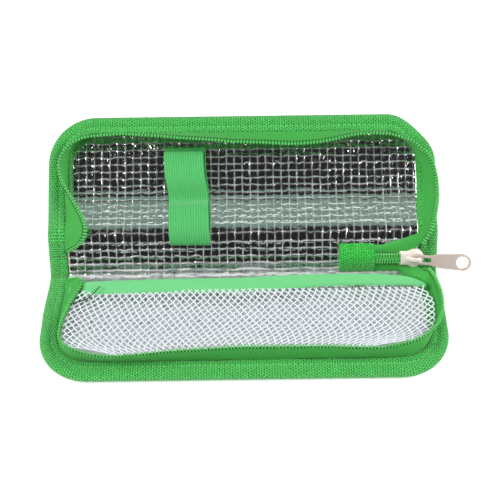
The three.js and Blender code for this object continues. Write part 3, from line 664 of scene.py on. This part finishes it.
def ribbon(name, root, free, camber, skirt):
    """Closed strip of cloth from its flat skirt over a rounded root to the free edge."""
    side = free - root
    along = unit(np.gradient(root + free, axis=0))
    normal = unit(np.cross(along, side))
    stops = [skirt, skirt * 0.5 + root * 0.5, root * 0.86 + skirt * 0.07 + free * 0.07]
    for t in np.linspace(0.16, 1, 8):
        stops.append(root + side * t + normal * (camber * math.sin(math.pi * t)))
    mid = np.stack(stops, 1)
    face = unit(np.cross(np.broadcast_to(along[:, None], mid.shape), np.gradient(mid, axis=1)))
    up, down = mid + face * TAPE_THICK / 2, mid - face * TAPE_THICK / 2
    width = np.linalg.norm(side, axis=1).mean() + 2
    t = np.linspace(0, 1, len(stops))
    across = np.concatenate([t * width, width + TAPE_THICK + (1 - t[::-1]) * width, [0]])
    grid = np.concatenate([up, down[:, ::-1]], 1)
    return grid_object(name, grid, uv=uv_grid(run_along(root), across), closed=True, sharp=50)


def eased(points, reach):
    """Curve smoothed by a rounded window, its ends kept."""
    size = max(1, int(reach))
    window = np.hanning(2 * size + 3)[1:-1]
    window /= window.sum()
    before = 2 * points[0] - points[size:0:-1]
    after = 2 * points[-1] - points[-2 : -size - 2 : -1]
    padded = np.vstack([before, points, after])
    return np.stack([np.convolve(column, window, "valid") for column in padded.T], -1)


def skirt_of(root):
    """Stations of the flat skirt by which a tape is sewn down, inward of its root."""
    out = []
    for u, s, w in root:
        slope_u = edge_inset(u + 0.5, s) - edge_inset(u - 0.5, s)
        slope_s = edge_inset(u, s + 0.5) - edge_inset(u, s - 0.5)
        wide = float(np.clip(SKIRT_INSET - edge_inset(u, s), 0.05, 4))
        out.append((u + slope_u * wide, s + slope_s * wide, min(w, SKIRT_LEVEL)))
    return out


def tape_curves(free, root, beyond, step=0.7, reach=4.0):
    """Free, root and skirt curves of a tape through (u, s, w) stations, evenly spaced."""
    f, r, k = (place(*np.array(a, float).T) for a in (free, root, skirt_of(root)))
    run = run_along((f + r) / 2)
    share = np.interp(np.arange(len(free)), *np.array(beyond, float).T)
    f = f + unit(f - r) * (COIL_TALL * share)[:, None]
    even = np.linspace(0, run[-1], int(run[-1] / step))
    return [eased(sample(points, run, even), reach / step) for points in (f, r, k)]


def coil(name, edge, out, inward, wide):
    """Nylon coil: one flattened loop for each pitch, standing out beyond the tape's edge."""
    run = run_along(edge)
    spots = np.arange(0.2, run[-1] - 0.3, COIL_PITCH)
    a, n = unit(sample(out, run, spots)), sample(inward, run, spots)
    n = unit(n - a * (a * n).sum(1, keepdims=True))
    along = np.cross(a, n)
    centre = sample(edge, run, spots) - a * (COIL_TALL / 2) + n * COIL_OFFSET
    points = []
    for tilt in np.linspace(-math.pi / 2, math.pi / 2, COIL_RINGS + 2)[1:-1]:
        grow = math.cos(tilt) ** 0.5
        middle = centre + a * (COIL_REACH * math.sin(tilt))
        ring = [
            middle + n * (COIL_DEEP * grow * math.cos(q)) + along * (wide * grow * math.sin(q))
            for q in circle(COIL_SIDES)
        ]
        points.append(np.stack(ring, 1))
    faces = []
    for k in range(len(spots)):
        faces += tube_faces(k * COIL_RINGS * COIL_SIDES, COIL_RINGS, COIL_SIDES)
    return plain_object(name, np.stack(points, 1).reshape(-1, 3), faces)


def shaded_coil_seam(name, seam):
    """Thread that sews a coil to its tape, one dash in each pitch, near black as painted shade of the gaps.
    """
    run = run_along(seam)
    spots = np.arange(0.6, run[-1] - 1.2, COIL_PITCH)
    starts, ends = sample(seam, run, spots), sample(seam, run, spots + SEAM_DASH)
    return capsules(name, starts, ends, SEAM_RADIUS, lift=0)


def zip_half(prefix, curves, bend, side, camber, coil_end, loop, cord, seams, tape_nodes, coil_node):
    """One tape with its coil, from the hinge end round the edge to the zip's end on the spine."""
    high, low, skirt = curves
    aim = unit(high - low)
    strip = ribbon(prefix + "_zip_tape_soft", low, high - aim * COIL_TALL, camber, skirt)
    dress(strip, TAPE, "tape", *tape_nodes, bend=bend)
    along = unit(np.gradient(high, axis=0))
    inward = np.cross(along, aim) * side
    last = int(len(high) * coil_end)
    high, aim, inward = high[:last], aim[:last], unit(inward[:last])
    dress(coil(prefix + "_coil_soft", high, aim, inward, loop), COIL, "coil", coil_node, bend=bend)
    depth, radius = cord
    core = high - aim * depth + inward * CORD_OFFSET
    dress(tubes(prefix + "_coil_cord", [core], radius, 8), CORD, "coil", bend=bend)
    # Painted shade: near-black seam dashes at the coil's foot.
    for word, offset in seams:
        line = high - aim * (COIL_TALL + SEAM_GAP) + inward * offset
        dress(shaded_coil_seam(f"{prefix}_shaded_coil_seam_{word}", line), DARK_THREAD_AND_SHADE, "coil", bend=bend)


def with_roots(free, lower):
    """Pairs of free and root stations, each root straight in from its free one on the walls' line."""
    track = at_inset(edge_path(lower, 0.8, 0 if lower else SPINE), WALL_INSET)
    pairs = []
    for u, s, w in free:
        root_u, root_s = track[np.argmin(np.hypot(track[:, 0] - u, track[:, 1] - s))]
        pairs.append(((u, s, w), (root_u, root_s, THICK)))
    return pairs


# Tapes: (free, root) pairs of (u, s, w) at both ends, and free stations alone between them
LID_START = [
    ((-88.9, 15.6, 6.4), (-90.2, 15.8, 4.9)), ((-87.7, 16.7, 7.5), (-90.3, 17.2, 4.9)),
    ((-84.6, 18.3, 8.5), (-90.3, 18.6, 4.9)), ((-81.0, 20.7, 9.5), (-90.3, 20.4, 4.9)),
    ((-79.0, 23.1, 10.5), (-90.3, 23.0, 4.9)), ((-79.6, 24.9, 11.0), (-90.3, 25.5, 4.9)),
]
LID_FREE = [
    (-82.3, 29.9, 11.5), (-86, 36.4, 12.2), (-89.2, 44.4, 12.9), (-91.8, 51.7, 13.2), (-92.8, 57.6, 13.4),
    (-92.3, 62.2, 13.4), (-90.3, 66.6, 13.4), (-86.3, 70.9, 13.4), (-80.7, 73.5, 13.4), (-70, 74.6, 13.4),
    (-59.8, 75.0, 13.4), (-50.6, 74.3, 13.4), (-39.5, 73.6, 13.4), (-27.8, 72.6, 13.3), (-16.6, 71.9, 13),
    (-5.4, 71, 12.4), (8.8, 70.5, 12), (26.7, 69.6, 11.6), (38.4, 70.2, 12), (44, 71, 12.3),
    (49.6, 71.9, 12.8), (55.2, 73.1, 13.2), (60.8, 73.7, 13.4), (66.4, 73.8, 13.4), (75, 73.6, 13.4),
    (82.1, 71.3, 13.2), (87.8, 68.6, 13), (92.1, 65, 12.6), (95.7, 61.7, 12.2),
]
LID_FINISH = [
    ((98.4, 56.6, 11.6), (93.2, 57.0, 5.0)), ((99.7, 50.9, 11), (93.6, 51, 5.0)),
    ((100, 43.6, 10.6), (93.4, 44, 5.0)), ((99.4, 36.1, 10.4), (92.7, 37, 5.0)),
    ((97.9, 29.3, 10.4), (91.9, 30.5, 5.0)), ((96.1, 24.5, 10.4), (91.4, 25.7, 5.0)),
    ((94.2, 22.4, 10.4), (91.2, 23.2, 5.2)), ((92.2, 20.6, 10), (90.0, 21.5, 5.4)),
    ((89.5, 17.5, 9.5), (86, 20.8, 5.6)), ((88.1, 15.5, 9.2), (84, 20.2, 5.8)),
    ((87.0, 13.4, 8.3), (82, 19.5, 5.9)), ((83.5, 12.2, 7.7), (78.5, 18.4, 6.0)),
    ((78, 11.4, 7.5), (75, 17.4, 6.2)), ((70, 11, 7.2), (70, 15.6, 6.2)), ((60, 11, 7.2), (60, 16.2, 6.2)),
]
BASE_START = [
    ((-87.4, -6.2, 9.6), (-90.4, -7.0, 6.0)), ((-84.6, -6.4, 11.2), (-90.6, -8.0, 5.4)),
    ((-81.6, -7.2, 12.4), (-90.8, -9.2, 5.0)), ((-79.8, -9.2, 12.9), (-90.8, -10.6, 4.9)),
]
BASE_FREE = [
    (-80.2, -12.4, 12.8), (-83.3, -19.5, 12.7), (-85.2, -24.8, 12.8), (-87.3, -30.5, 13),
    (-88.7, -37.6, 13.2), (-89.1, -42.8, 13.2), (-86.9, -48, 13.3), (-81.4, -51.5, 13.4),
    (-72.6, -54.8, 13.4), (-63.6, -56, 13.4), (-49, -55.1, 13.4), (-35, -53.7, 13.4), (-2, -52, 13.4),
    (40.5, -52.2, 13.4), (52.2, -52.9, 13.4), (64.9, -53.4, 13.4), (73.6, -51.8, 13.3), (79.5, -50.2, 13.2),
    (85.5, -47.4, 13.1), (89.8, -43.9, 13), (93.6, -38.7, 12.8), (96, -32.7, 12.6), (97, -26.8, 12.6),
    (97.2, -20.1, 12.6),
]
BASE_FINISH = [
    ((96.1, -13.1, 12.2), (91.4, -17, 5.2)), ((95.2, -9, 11.9), (91.2, -14, 7.5)),
    ((94.0, -5.8, 11.3), (90.6, -12.4, 9.8)), ((92.8, -1.5, 10.6), (88, -11.4, 12)),
    ((92.0, 2.5, 10.0), (84.3, -9.6, 12.2)), ((90.8, 5.3, 8.6), (82, -6, 10.4)),
    ((89.0, 6.2, 7.2), (80.5, -1.0, 8.2)), ((84, 7.4, 6.5), (78.5, 1.6, 6.6)),
    ((78, 8.2, 6.5), (76, 2.0, 6.1)), ((70, 8.6, 6.5), (70, 1.6, 5.8)), ((60, 8.6, 6.5), (60, 1.6, 5.6)),
]
# Share of the coil's height that stands beyond the free stations, by the station's number
LID_BEYOND = [
    (0, 1), (33, 0.9), (34, 0.6), (35, 0.1), (36, 0), (40, 0), (42, 0.4), (44, 0.5), (46, 0.2), (49, 0),
]
BASE_BEYOND = [
    (0, 0), (10, 0), (12, 0.9), (13, 1), (23, 1), (25, 0.7), (28, 0.5), (32, 0.5), (35, 0.2), (39, 0),
]
OUTER_SEAM, INNER_SEAM = ("outer", -0.42), ("inner", 0.42)

zip_half(
    "lid",
    tape_curves(*zip(*LID_START + with_roots(LID_FREE, False) + LID_FINISH), LID_BEYOND),
    bend="upper",
    side=1,
    camber=0.35,
    coil_end=0.912,
    loop=0.66,
    cord=(0.95, 0.62),
    seams=[OUTER_SEAM, INNER_SEAM],
    tape_nodes=["lid_zip_tape", "zip_turn_lid", "zip_end_tape_upper"],
    coil_node="lid_zip_coil",
)
zip_half(
    "base",
    tape_curves(*zip(*BASE_START + with_roots(BASE_FREE, True) + BASE_FINISH), BASE_BEYOND),
    bend="lower",
    side=-1,
    camber=-0.3,
    coil_end=0.925,
    loop=0.5,
    cord=(1.4, 0.4),
    seams=[INNER_SEAM],
    tape_nodes=["base_zip_tape", "zip_turn_base", "zip_end_tape_lower"],
    coil_node="base_zip_coil",
)

# Net pocket: strands that cross in diamonds and belly between the walls, inside three (place, value) curves
NET_WIDE, NET_TALL = 3.5, 3.9
NET_SPAN, NET_FALL = 91.0, 37.0
NET_MOUTH = 15.2
NET_LEVEL, NET_SAG = 11.1, 1.5
NET_RADIUS = 0.35
net_left = smooth_table([
    (-15, -81.8), (-22.1, -83.5), (-25.7, -85.1), (-29.2, -86.2), (-32.8, -87.2), (-39.7, -88), (-44, -87.6),
    (-48, -85), (-51, -80.5), (-53.5, -76),
])
net_right = smooth_table([
    (-15, 89.4), (-21.4, 93.2), (-25.1, 94.4), (-35.8, 93.6), (-39.2, 92.1), (-42.7, 89.5), (-46.1, 85.0),
    (-49.4, 78.6), (-53, 72),
])
net_front = smooth_table([
    (-92, 48.0), (-81.4, 49.7), (-72.6, 52.9), (-63.6, 53.9), (-49, 53.2), (-35, 52.1), (-2, 50.9),
    (40.5, 51.3), (64.9, 51.6), (79.5, 48.6), (92, 46),
])


def net_place(a, b):
    """Point of the net at a across and b down its flat grid."""
    s = -(NET_MOUTH + (net_front(a) - NET_MOUTH) * b / NET_FALL)
    left, right = net_left(s), net_right(s)
    share = (a + NET_SPAN) / (2 * NET_SPAN)
    u = left + (right - left) * share + 0.2 * noise(a / 9, b / 7, 42)
    edge = np.minimum(np.minimum(u - left, right - u) / 20, np.minimum(b + 4, NET_FALL - b) / 14)
    sag = smooth(edge)
    w = NET_LEVEL - NET_SAG * sag + 0.5 * noise(a / 16, b / 9, 41) * sag
    return place(u, s + 0.15 * noise(a / 7, b / 9, 43), w)


def net():
    """Strands that lean both ways, and one along the net's front edge."""
    lines = []
    lean = NET_FALL * NET_WIDE / NET_TALL
    for sign in (-1, 1):
        for foot in np.arange(-NET_SPAN - lean, NET_SPAN + lean, NET_WIDE):
            t = np.linspace(0, 1, 39)
            a = foot + sign * (t - 0.5) * lean + lean / 2
            sway = 0.22 * np.sin(2 * math.pi * a / NET_WIDE)
            inside = np.abs(a) <= NET_SPAN
            if inside.sum() > 2:
                lines.append(net_place((a + sway)[inside], (t * NET_FALL)[inside]))
    lines.append(net_place(np.linspace(-NET_SPAN, NET_SPAN, 160), np.full(160, NET_FALL)))
    return tubes("pocket_net_soft", lines, NET_RADIUS)


pocket = dress(net(), NET, "net", "pocket_net", body="base")

# Elastic band along the pocket's mouth: (u, s of its top edge, s of its lower edge)
BAND_EDGES = [
    (-87.5, -10.4, -17.0), (-83, -10.3, -17.4), (-71.6, -10.0, -17.3), (-36.7, -9.2, -16.8),
    (-1.8, -9.0, -16.7), (28, -7.6, -14.9), (50.8, -7.4, -13.6), (65.8, -7.7, -13.7), (76.8, -8.7, -14.0),
    (83.5, -10.3, -14.5), (88.4, -12.9, -15.4), (90.4, -14.6, -16.0),
]
# Its section: share of the way from the top edge to the lower one, and how far out
BAND_SECTION = [
    (0, 0), (0.04, 0.35), (0.25, 0.5), (0.5, 0.55), (0.75, 0.5), (0.96, 0.35), (1, 0), (0.96, -0.35),
    (0.5, -0.3), (0.04, -0.35),
]
BAND_LEVEL, BAND_LEAN, BAND_TUCK = 11.8, 1.4, 4.2
BAND_ROUND = 16


def band():
    u, top, low = spline(BAND_EDGES, 170).T
    tuck = BAND_TUCK * smooth((-77 - u) / 10)
    rows = []
    for share, out in BAND_SECTION:
        waves = 0.25 * noise(u / 22, share / 2, 52) * math.sin(math.pi * share)
        rows.append(place(u, top + (low - top) * share, BAND_LEVEL - tuck - BAND_LEAN * share + out + waves))
    across = np.linspace(0, BAND_ROUND, len(rows) + 1)
    return grid_object("pocket_band_soft", np.stack(rows, 1), uv=uv_grid(u, across), closed=True, sharp=60)


dress(band(), BAND, "elastic", "pocket_band", body="base")

LOOSE_THREAD = [
    (-71.1, -14.0, 12.9), (-74.5, -18.7, 12.6), (-77.2, -21.4, 12.5), (-82.3, -23.4, 12.6),
    (-84.9, -24.6, 12.9),
]
loose_line = spline(place(*np.array(LOOSE_THREAD).T), 24)
dress(tubes("loose_thread", [loose_line], 0.3), DARK_THREAD_AND_SHADE, "elastic", body="base")

# Elastic pen loops on the lid: (s, u) of the middle line, and (s, w) stations of each layer
BACK_CENTRE = [(16, -26.2), (24, -26.6), (40, -27.2), (50, -28.2), (58, -29.0), (72, -29.2)]
BACK_STATIONS = [(23.8, 5.4), (38, 5.6), (53, 5.6), (68.6, 5.7)]
FRONT_CENTRE = [
    (16, -26.2), (19, -26.4), (24, -26.9), (32, -27.2), (38, -27.4), (43, -27.6), (49, -28.4), (54, -29.3),
    (64, -30.0), (70, -30.0),
]
FRONT_STATIONS = [
    (66.2, 6.4), (66.0, 7.2), (64.8, 7.9), (61, 9.8), (55, 11.2), (49, 10.6), (43.5, 8.2), (40.6, 6.7),
    (39.4, 6.6), (37.6, 8.0), (33.5, 10.6), (29, 11.6), (24.5, 11.4), (20.6, 10.0), (18.9, 8.9), (18.9, 7.8),
    (20.6, 6.9), (23.0, 6.3),
]


def strap(name, centre, stations, width, thick, uneven=0.0):
    """Strap along s through its stations, its middle line given at each s."""
    s, w = spline(stations, 110).T
    ds, dw = np.gradient(s), np.gradient(w)
    size = np.hypot(ds, dw)
    half, rim = width / 2, width / 2 - 0.25
    section = [(-half, 0), (-rim, thick / 2)]
    section += [(a, thick / 2) for a in np.linspace(-half + 2, half - 2, 6)]
    section += [(rim, thick / 2), (half, 0), (rim, -thick / 2), (-rim, -thick / 2)]
    middle = smooth_table(centre)(s)
    rows, across = [], []
    for a, b in section:
        edge = (a / half) ** 2 * uneven * noise(s / 9, 0.5 + np.sign(a), 55)
        rows.append(place(middle + a, s - dw / size * b, w + ds / size * b + edge))
        across.append(a if b >= 0 else width + thick - a)
    uv = uv_grid(run_along(np.stack([s, w], -1)), across + across[:1])[..., ::-1]
    return grid_object(name, np.stack(rows, 1), uv=uv, closed=True, sharp=50)


back = strap("pen_loop_back_soft", BACK_CENTRE, BACK_STATIONS, 21.0, 0.6)
dress(back, SHADED_ELASTIC, "elastic", "pen_loop_back", bend="upper")
front = strap("pen_loop_front_soft", FRONT_CENTRE, FRONT_STATIONS, 20.2, 0.7, uneven=0.5)
dress(front, ELASTIC, "elastic", "pen_loop_front", bend="upper")

# Zip end on the spine: a fabric tab and the closed chain, along the zip's middle line
LINE = 9.8
TAB_FROM, TAB_TO = 48.7, 66.3
TAB_WOBBLE = 0.36
TAB_SECTION = [
    (LINE - 8.6, 5.2), (LINE - 8.3, 5.9), (LINE - 6.6, 6.6), (LINE - 4.4, 7.9), (LINE - 2.8, 8.7),
    (LINE, 9.0), (LINE + 2.8, 8.7), (LINE + 4.2, 7.8), (LINE + 5.8, 6.6), (LINE + 7.0, 5.9),
    (LINE + 7.2, 5.2),
]
CHAIN_FROM, CHAIN_TO, CHAIN_PITCH = 66.0, 80.6, 1.35
CHAIN_LEVEL = 7.9
CHAIN_GIRTH, CHAIN_WIDE = 0.62, 0.52
CHAIN_SIDES = 8
CHAIN_STITCH = 1.22


def end_tab():
    """Fabric tab: a closed (s, w) section swept along u."""
    u = np.linspace(TAB_FROM, TAB_TO, 40)
    rows = [
        place(u, s + TAB_WOBBLE * noise(u / 5, s / 4, 61), w + TAB_WOBBLE * noise(u / 4, s / 3, 62))
        for s, w in TAB_SECTION
    ]
    uv = uv_grid(u, around(TAB_SECTION))
    return grid_object("zip_end_tab_soft", np.stack(rows, 1), uv=uv, closed=True, sharp=45)


def chain():
    """Closed coil halves: loops from both sides that mesh along the middle line."""
    points, faces = [], []
    track = np.linspace(-0.7, 2.9, 7)
    for n, u in enumerate(np.arange(CHAIN_FROM, CHAIN_TO, CHAIN_PITCH / 2)):
        side = 1 if n % 2 else -1
        faces += tube_faces(len(points), len(track), CHAIN_SIDES)
        for t in track:
            rise = CHAIN_LEVEL + 0.35 * math.cos((t - 1.1) / 1.8 * math.pi / 2)
            taper = 1 if 0 < t < 2.6 else 0.75
            for a in circle(CHAIN_SIDES):
                out, up = CHAIN_WIDE * taper * math.cos(a), CHAIN_GIRTH * taper * math.sin(a)
                points.append((u + out, LINE + side * t, rise + up))
    return plain_object("zip_end_chain_soft", place(*np.array(points).T), faces)


dress(end_tab(), TAB, "tab", "zip_end_tab", body="spine")
dress(chain(), COIL, "coil", "zip_end_chain", body="spine")
stitch_from = np.arange(CHAIN_FROM + 0.2, CHAIN_TO - 0.6, CHAIN_STITCH)
for word, row in (("upper", 2.1), ("lower", -2.1)):
    stitch_ends = [place(u, LINE + row, 8.55) for u in (stitch_from, stitch_from + 0.7)]
    dress(capsules(f"chain_stitches_{word}", *stitch_ends, 0.27), THREAD, "coil", body="spine")

# Zip slider: a domed shield, by share of its length and half width, with a low crown of (u, w) points
SLIDER_REAR, SLIDER_LONG = 78.2, 12.8
SLIDER_LEVEL, SLIDER_RISE, SLIDER_UNDER = 6.7, 2.75, 1.3
SLIDER_OUTLINE = [
    (0, 3.4), (0.04, 3.7), (0.30, 3.75), (0.42, 4.2), (0.52, 4.95), (0.62, 5.25), (0.74, 4.85), (0.88, 3.5),
    (0.96, 2.2), (1.0, 1.1),
]
CROWN = [
    (81.4, 9.22), (82.6, 9.45), (84.2, 10.4), (85.6, 11.3), (86.9, 11.6), (88.1, 11.2), (89.2, 10.1),
    (90.0, 8.8), (90.3, 7.6),
]
CROWN_HALF, CROWN_THICK = 1.2, 0.4

# Pull: places along it from its axis, half widths, and a slot and an eye through it
PULL_AXIS = SLIDER_REAR + 8.3
PULL_LEVEL = 10.4
PULL_THICK, PULL_BEVEL = 1.1, 0.28
PULL_TURN = math.radians(-4.5)
PULL_SIDE = [
    (-0.55, 1.9), (-0.2, 2.4), (3.0, 2.35), (7.5, 2.35), (9.5, 2.9), (13.0, 3.45), (19.0, 3.85), (21.5, 4.08),
]
PULL_SLOT = [(0.55, -1.45), (7.6, -1.45), (8.1, -1.0), (8.1, 1.0), (7.6, 1.45), (0.55, 1.45)]
EYE_AT, EYE_OUTER, EYE_INNER = 23.6, 4.15, 3.45


def slider_dome():
    share, half = spline(SLIDER_OUTLINE, 60).T
    rise = SLIDER_RISE * smooth(np.minimum(share / 0.16, (1.03 - share) / 0.3)) ** 0.5
    rows = []
    for q in circle(36):
        c, s = math.cos(q), math.sin(q)
        across = half * math.copysign(abs(c) ** 0.55, c)
        lift = rise * s**0.55 if s > 0 else -SLIDER_UNDER * (-s) ** 0.35
        rows.append(place(SLIDER_REAR + SLIDER_LONG * share, LINE + across, SLIDER_LEVEL + lift))
    return grid_object("slider_body_soft", np.stack(rows, 1), closed=True, sharp=40)


def slider_crown():
    line = spline(CROWN, 60)
    slope = unit(np.gradient(line, axis=0))
    taper = np.linspace(0.4, 8, 60).clip(0, 1)
    rows = []
    for q in circle(14):
        out = CROWN_THICK * math.sin(q) * taper
        u, w = line[:, 0] - slope[:, 1] * out, line[:, 1] + slope[:, 0] * out
        rows.append(place(u, LINE + CROWN_HALF * math.cos(q), w))
    return grid_object("slider_crown_soft", np.stack(rows, 1), closed=True, sharp=60)


def flat_plate(name, loops, thick, bevel):
    """Plate filled between closed loops of points, with rounded rims."""
    curve = bpy.data.curves.new(name, "CURVE")
    curve.dimensions = "2D"
    curve.fill_mode = "BOTH"
    curve.extrude = thick / 2 - bevel
    curve.bevel_depth = bevel
    curve.bevel_resolution = 3
    for loop in loops:
        part = curve.splines.new("POLY")
        part.points.add(len(loop) - 1)
        places = np.concatenate([loop, np.zeros((len(loop), 1)), np.ones((len(loop), 1))], 1)
        part.points.foreach_set("co", places.ravel())
        part.use_cyclic_u = True
    flat = linked(name, curve)
    bpy.context.view_layer.update()
    mesh = bpy.data.meshes.new_from_object(flat.evaluated_get(bpy.context.evaluated_depsgraph_get()))
    bpy.data.objects.remove(flat)
    return linked(name, mesh)


def pull():
    turn = np.linspace(math.radians(110), math.radians(-110), 60)
    cap = np.stack([EYE_AT + EYE_OUTER * np.cos(turn), EYE_OUTER * np.sin(turn)], -1)
    upper = spline(PULL_SIDE, 60)
    upper = upper[upper[:, 0] < cap[0, 0] - 0.3]
    outline = np.concatenate([upper, cap, upper[::-1] * [1, -1]])
    angles = circle(60)
    eye = np.stack([EYE_AT + EYE_INNER * np.cos(angles), EYE_INNER * np.sin(angles)], -1)
    obj = flat_plate("pull_tab_soft", [outline, eye, np.array(PULL_SLOT)], PULL_THICK, PULL_BEVEL)
    mesh = obj.data
    points = np.zeros(len(mesh.vertices) * 3)
    mesh.vertices.foreach_get("co", points)
    x, y, z = points.reshape(-1, 3).T
    placed = place(PULL_AXIS + x, LINE + y + x * np.tan(PULL_TURN * smooth(x / 6)), PULL_LEVEL + z)
    mesh.vertices.foreach_set("co", (placed * MM).ravel())
    mesh.polygons.foreach_set("use_smooth", np.ones(len(mesh.polygons), bool))
    mesh.set_sharp_from_angle(angle=math.radians(50))
    mesh.update()
    return obj


dress(slider_dome(), SLIDER_ZINC_PAINTED_LIGHT, "zinc", "slider_body", body="slider")
dress(slider_crown(), SLIDER_ZINC_PAINTED_LIGHT, "zinc", "slider_crown", body="slider")
dress(pull(), METAL, "zinc", "pull_tab", body="pull")

# Foam cores keep their shape and take the finished material
for node in ("base_foam", "spine_foam", "lid_foam"):
    foam = bpy.data.objects[node]
    foam.data.materials.clear()
    foam.data.materials.append(FOAM)

# Floor and lights, in metres
FLOOR_HALF = 4
FLOOR_DROP = 0.0002
CASE = (0, 0.03, 0)
SIDE_SIZE, LAMP_SIZE = (0.9, 1.0), (0.25, 0.25)


def floor():
    far = FLOOR_HALF
    mesh = bpy.data.meshes.new("floor")
    mesh.from_pydata([(-far, -far, 0), (far, -far, 0), (far, far, 0), (-far, far, 0)], [], [(0, 1, 2, 3)])
    glow = {"Emission_Color": (1, 1, 1, 1), "Emission_Strength": 0.27}
    mesh.materials.append(new_material("paper", (0.96, 0.96, 0.96), 0.9, **glow))
    obj = linked("floor", mesh)
    obj.location.z = -FLOOR_DROP


def softbox(name, at, aim, size, radiance, color=(1, 1, 1)):
    """Rectangular light of even radiance that looks from one point at another."""
    light = bpy.data.lights.new(name, "AREA")
    light.color = color
    light.shape = "RECTANGLE"
    light.size, light.size_y = size
    light.energy = radiance * math.pi * size[0] * size[1]
    back = unit(np.array(at, float) - np.array(aim, float))
    right = unit(np.cross([0, 1, 0] if abs(back[2]) > 0.95 else [0, 0, 1], back))
    turned = Matrix(np.stack([right, np.cross(back, right), back], 1).tolist()).to_4x4()
    linked(name, light).matrix_world = Matrix.Translation(at) @ turned


floor()
softbox("left", (-1.15, -0.08, 0.95), CASE, SIDE_SIZE, 7.2)
softbox("right", (1.15, -0.08, 0.95), CASE, SIDE_SIZE, 7.2)
softbox("overhead", (0, 0.59, 1.25), (0, 0.59, 0), (1.2, 0.88), 0.29, (0.78, 1.17, 0.94))
softbox("behind", (0, 1.13, 1.2), CASE, (1.8, 0.32), 1.5, (0.88, 1.0, 0.95))
softbox("lamp_left", (-0.74, -0.88, 0.97), CASE, LAMP_SIZE, 13)
softbox("lamp_right", (0.74, -0.88, 0.97), CASE, LAMP_SIZE, 13)

world = bpy.data.worlds.new("studio")
world.use_nodes = True
world.node_tree.nodes["Background"].inputs[0].default_value = (0.018, 0.018, 0.018, 1)
bpy.context.scene.world = world

# Camera: degrees, millimetres, and the focal length in pixels of the photograph
CAMERA_AZIMUTH, CAMERA_ELEVATION, CAMERA_ROLL = -0.331, 51.503, -0.53
CAMERA_TARGET = np.array([3.479, 39.418, 12.0])
CAMERA_DISTANCE = 523.466
FOCAL_PIXELS, PHOTO_PIXELS = 1026.708, 500
SENSOR = 36


def camera():
    azimuth, elevation, roll = np.radians([CAMERA_AZIMUTH, CAMERA_ELEVATION, CAMERA_ROLL])
    level = math.cos(elevation)
    away = np.array([math.sin(azimuth) * level, -math.cos(azimuth) * level, math.sin(elevation)])
    right = unit(np.cross(-away, [0, 0, 1]))
    up = np.cross(right, -away)
    tilted = right * math.cos(roll) + up * math.sin(roll)
    risen = -right * math.sin(roll) + up * math.cos(roll)
    data = bpy.data.cameras.new("camera")
    data.sensor_width = SENSOR
    data.lens = FOCAL_PIXELS / PHOTO_PIXELS * SENSOR
    data.clip_start, data.clip_end = 0.01, 50
    obj = linked("camera", data)
    turned = Matrix(np.stack([tilted, risen, away], 1).tolist()).to_4x4()
    obj.matrix_world = Matrix.Translation((CAMERA_TARGET + away * CAMERA_DISTANCE) * MM) @ turned
    bpy.context.scene.camera = obj


camera()
bpy.context.scene.view_settings.view_transform = "Standard"
bpy.context.scene.view_settings.look = "None"
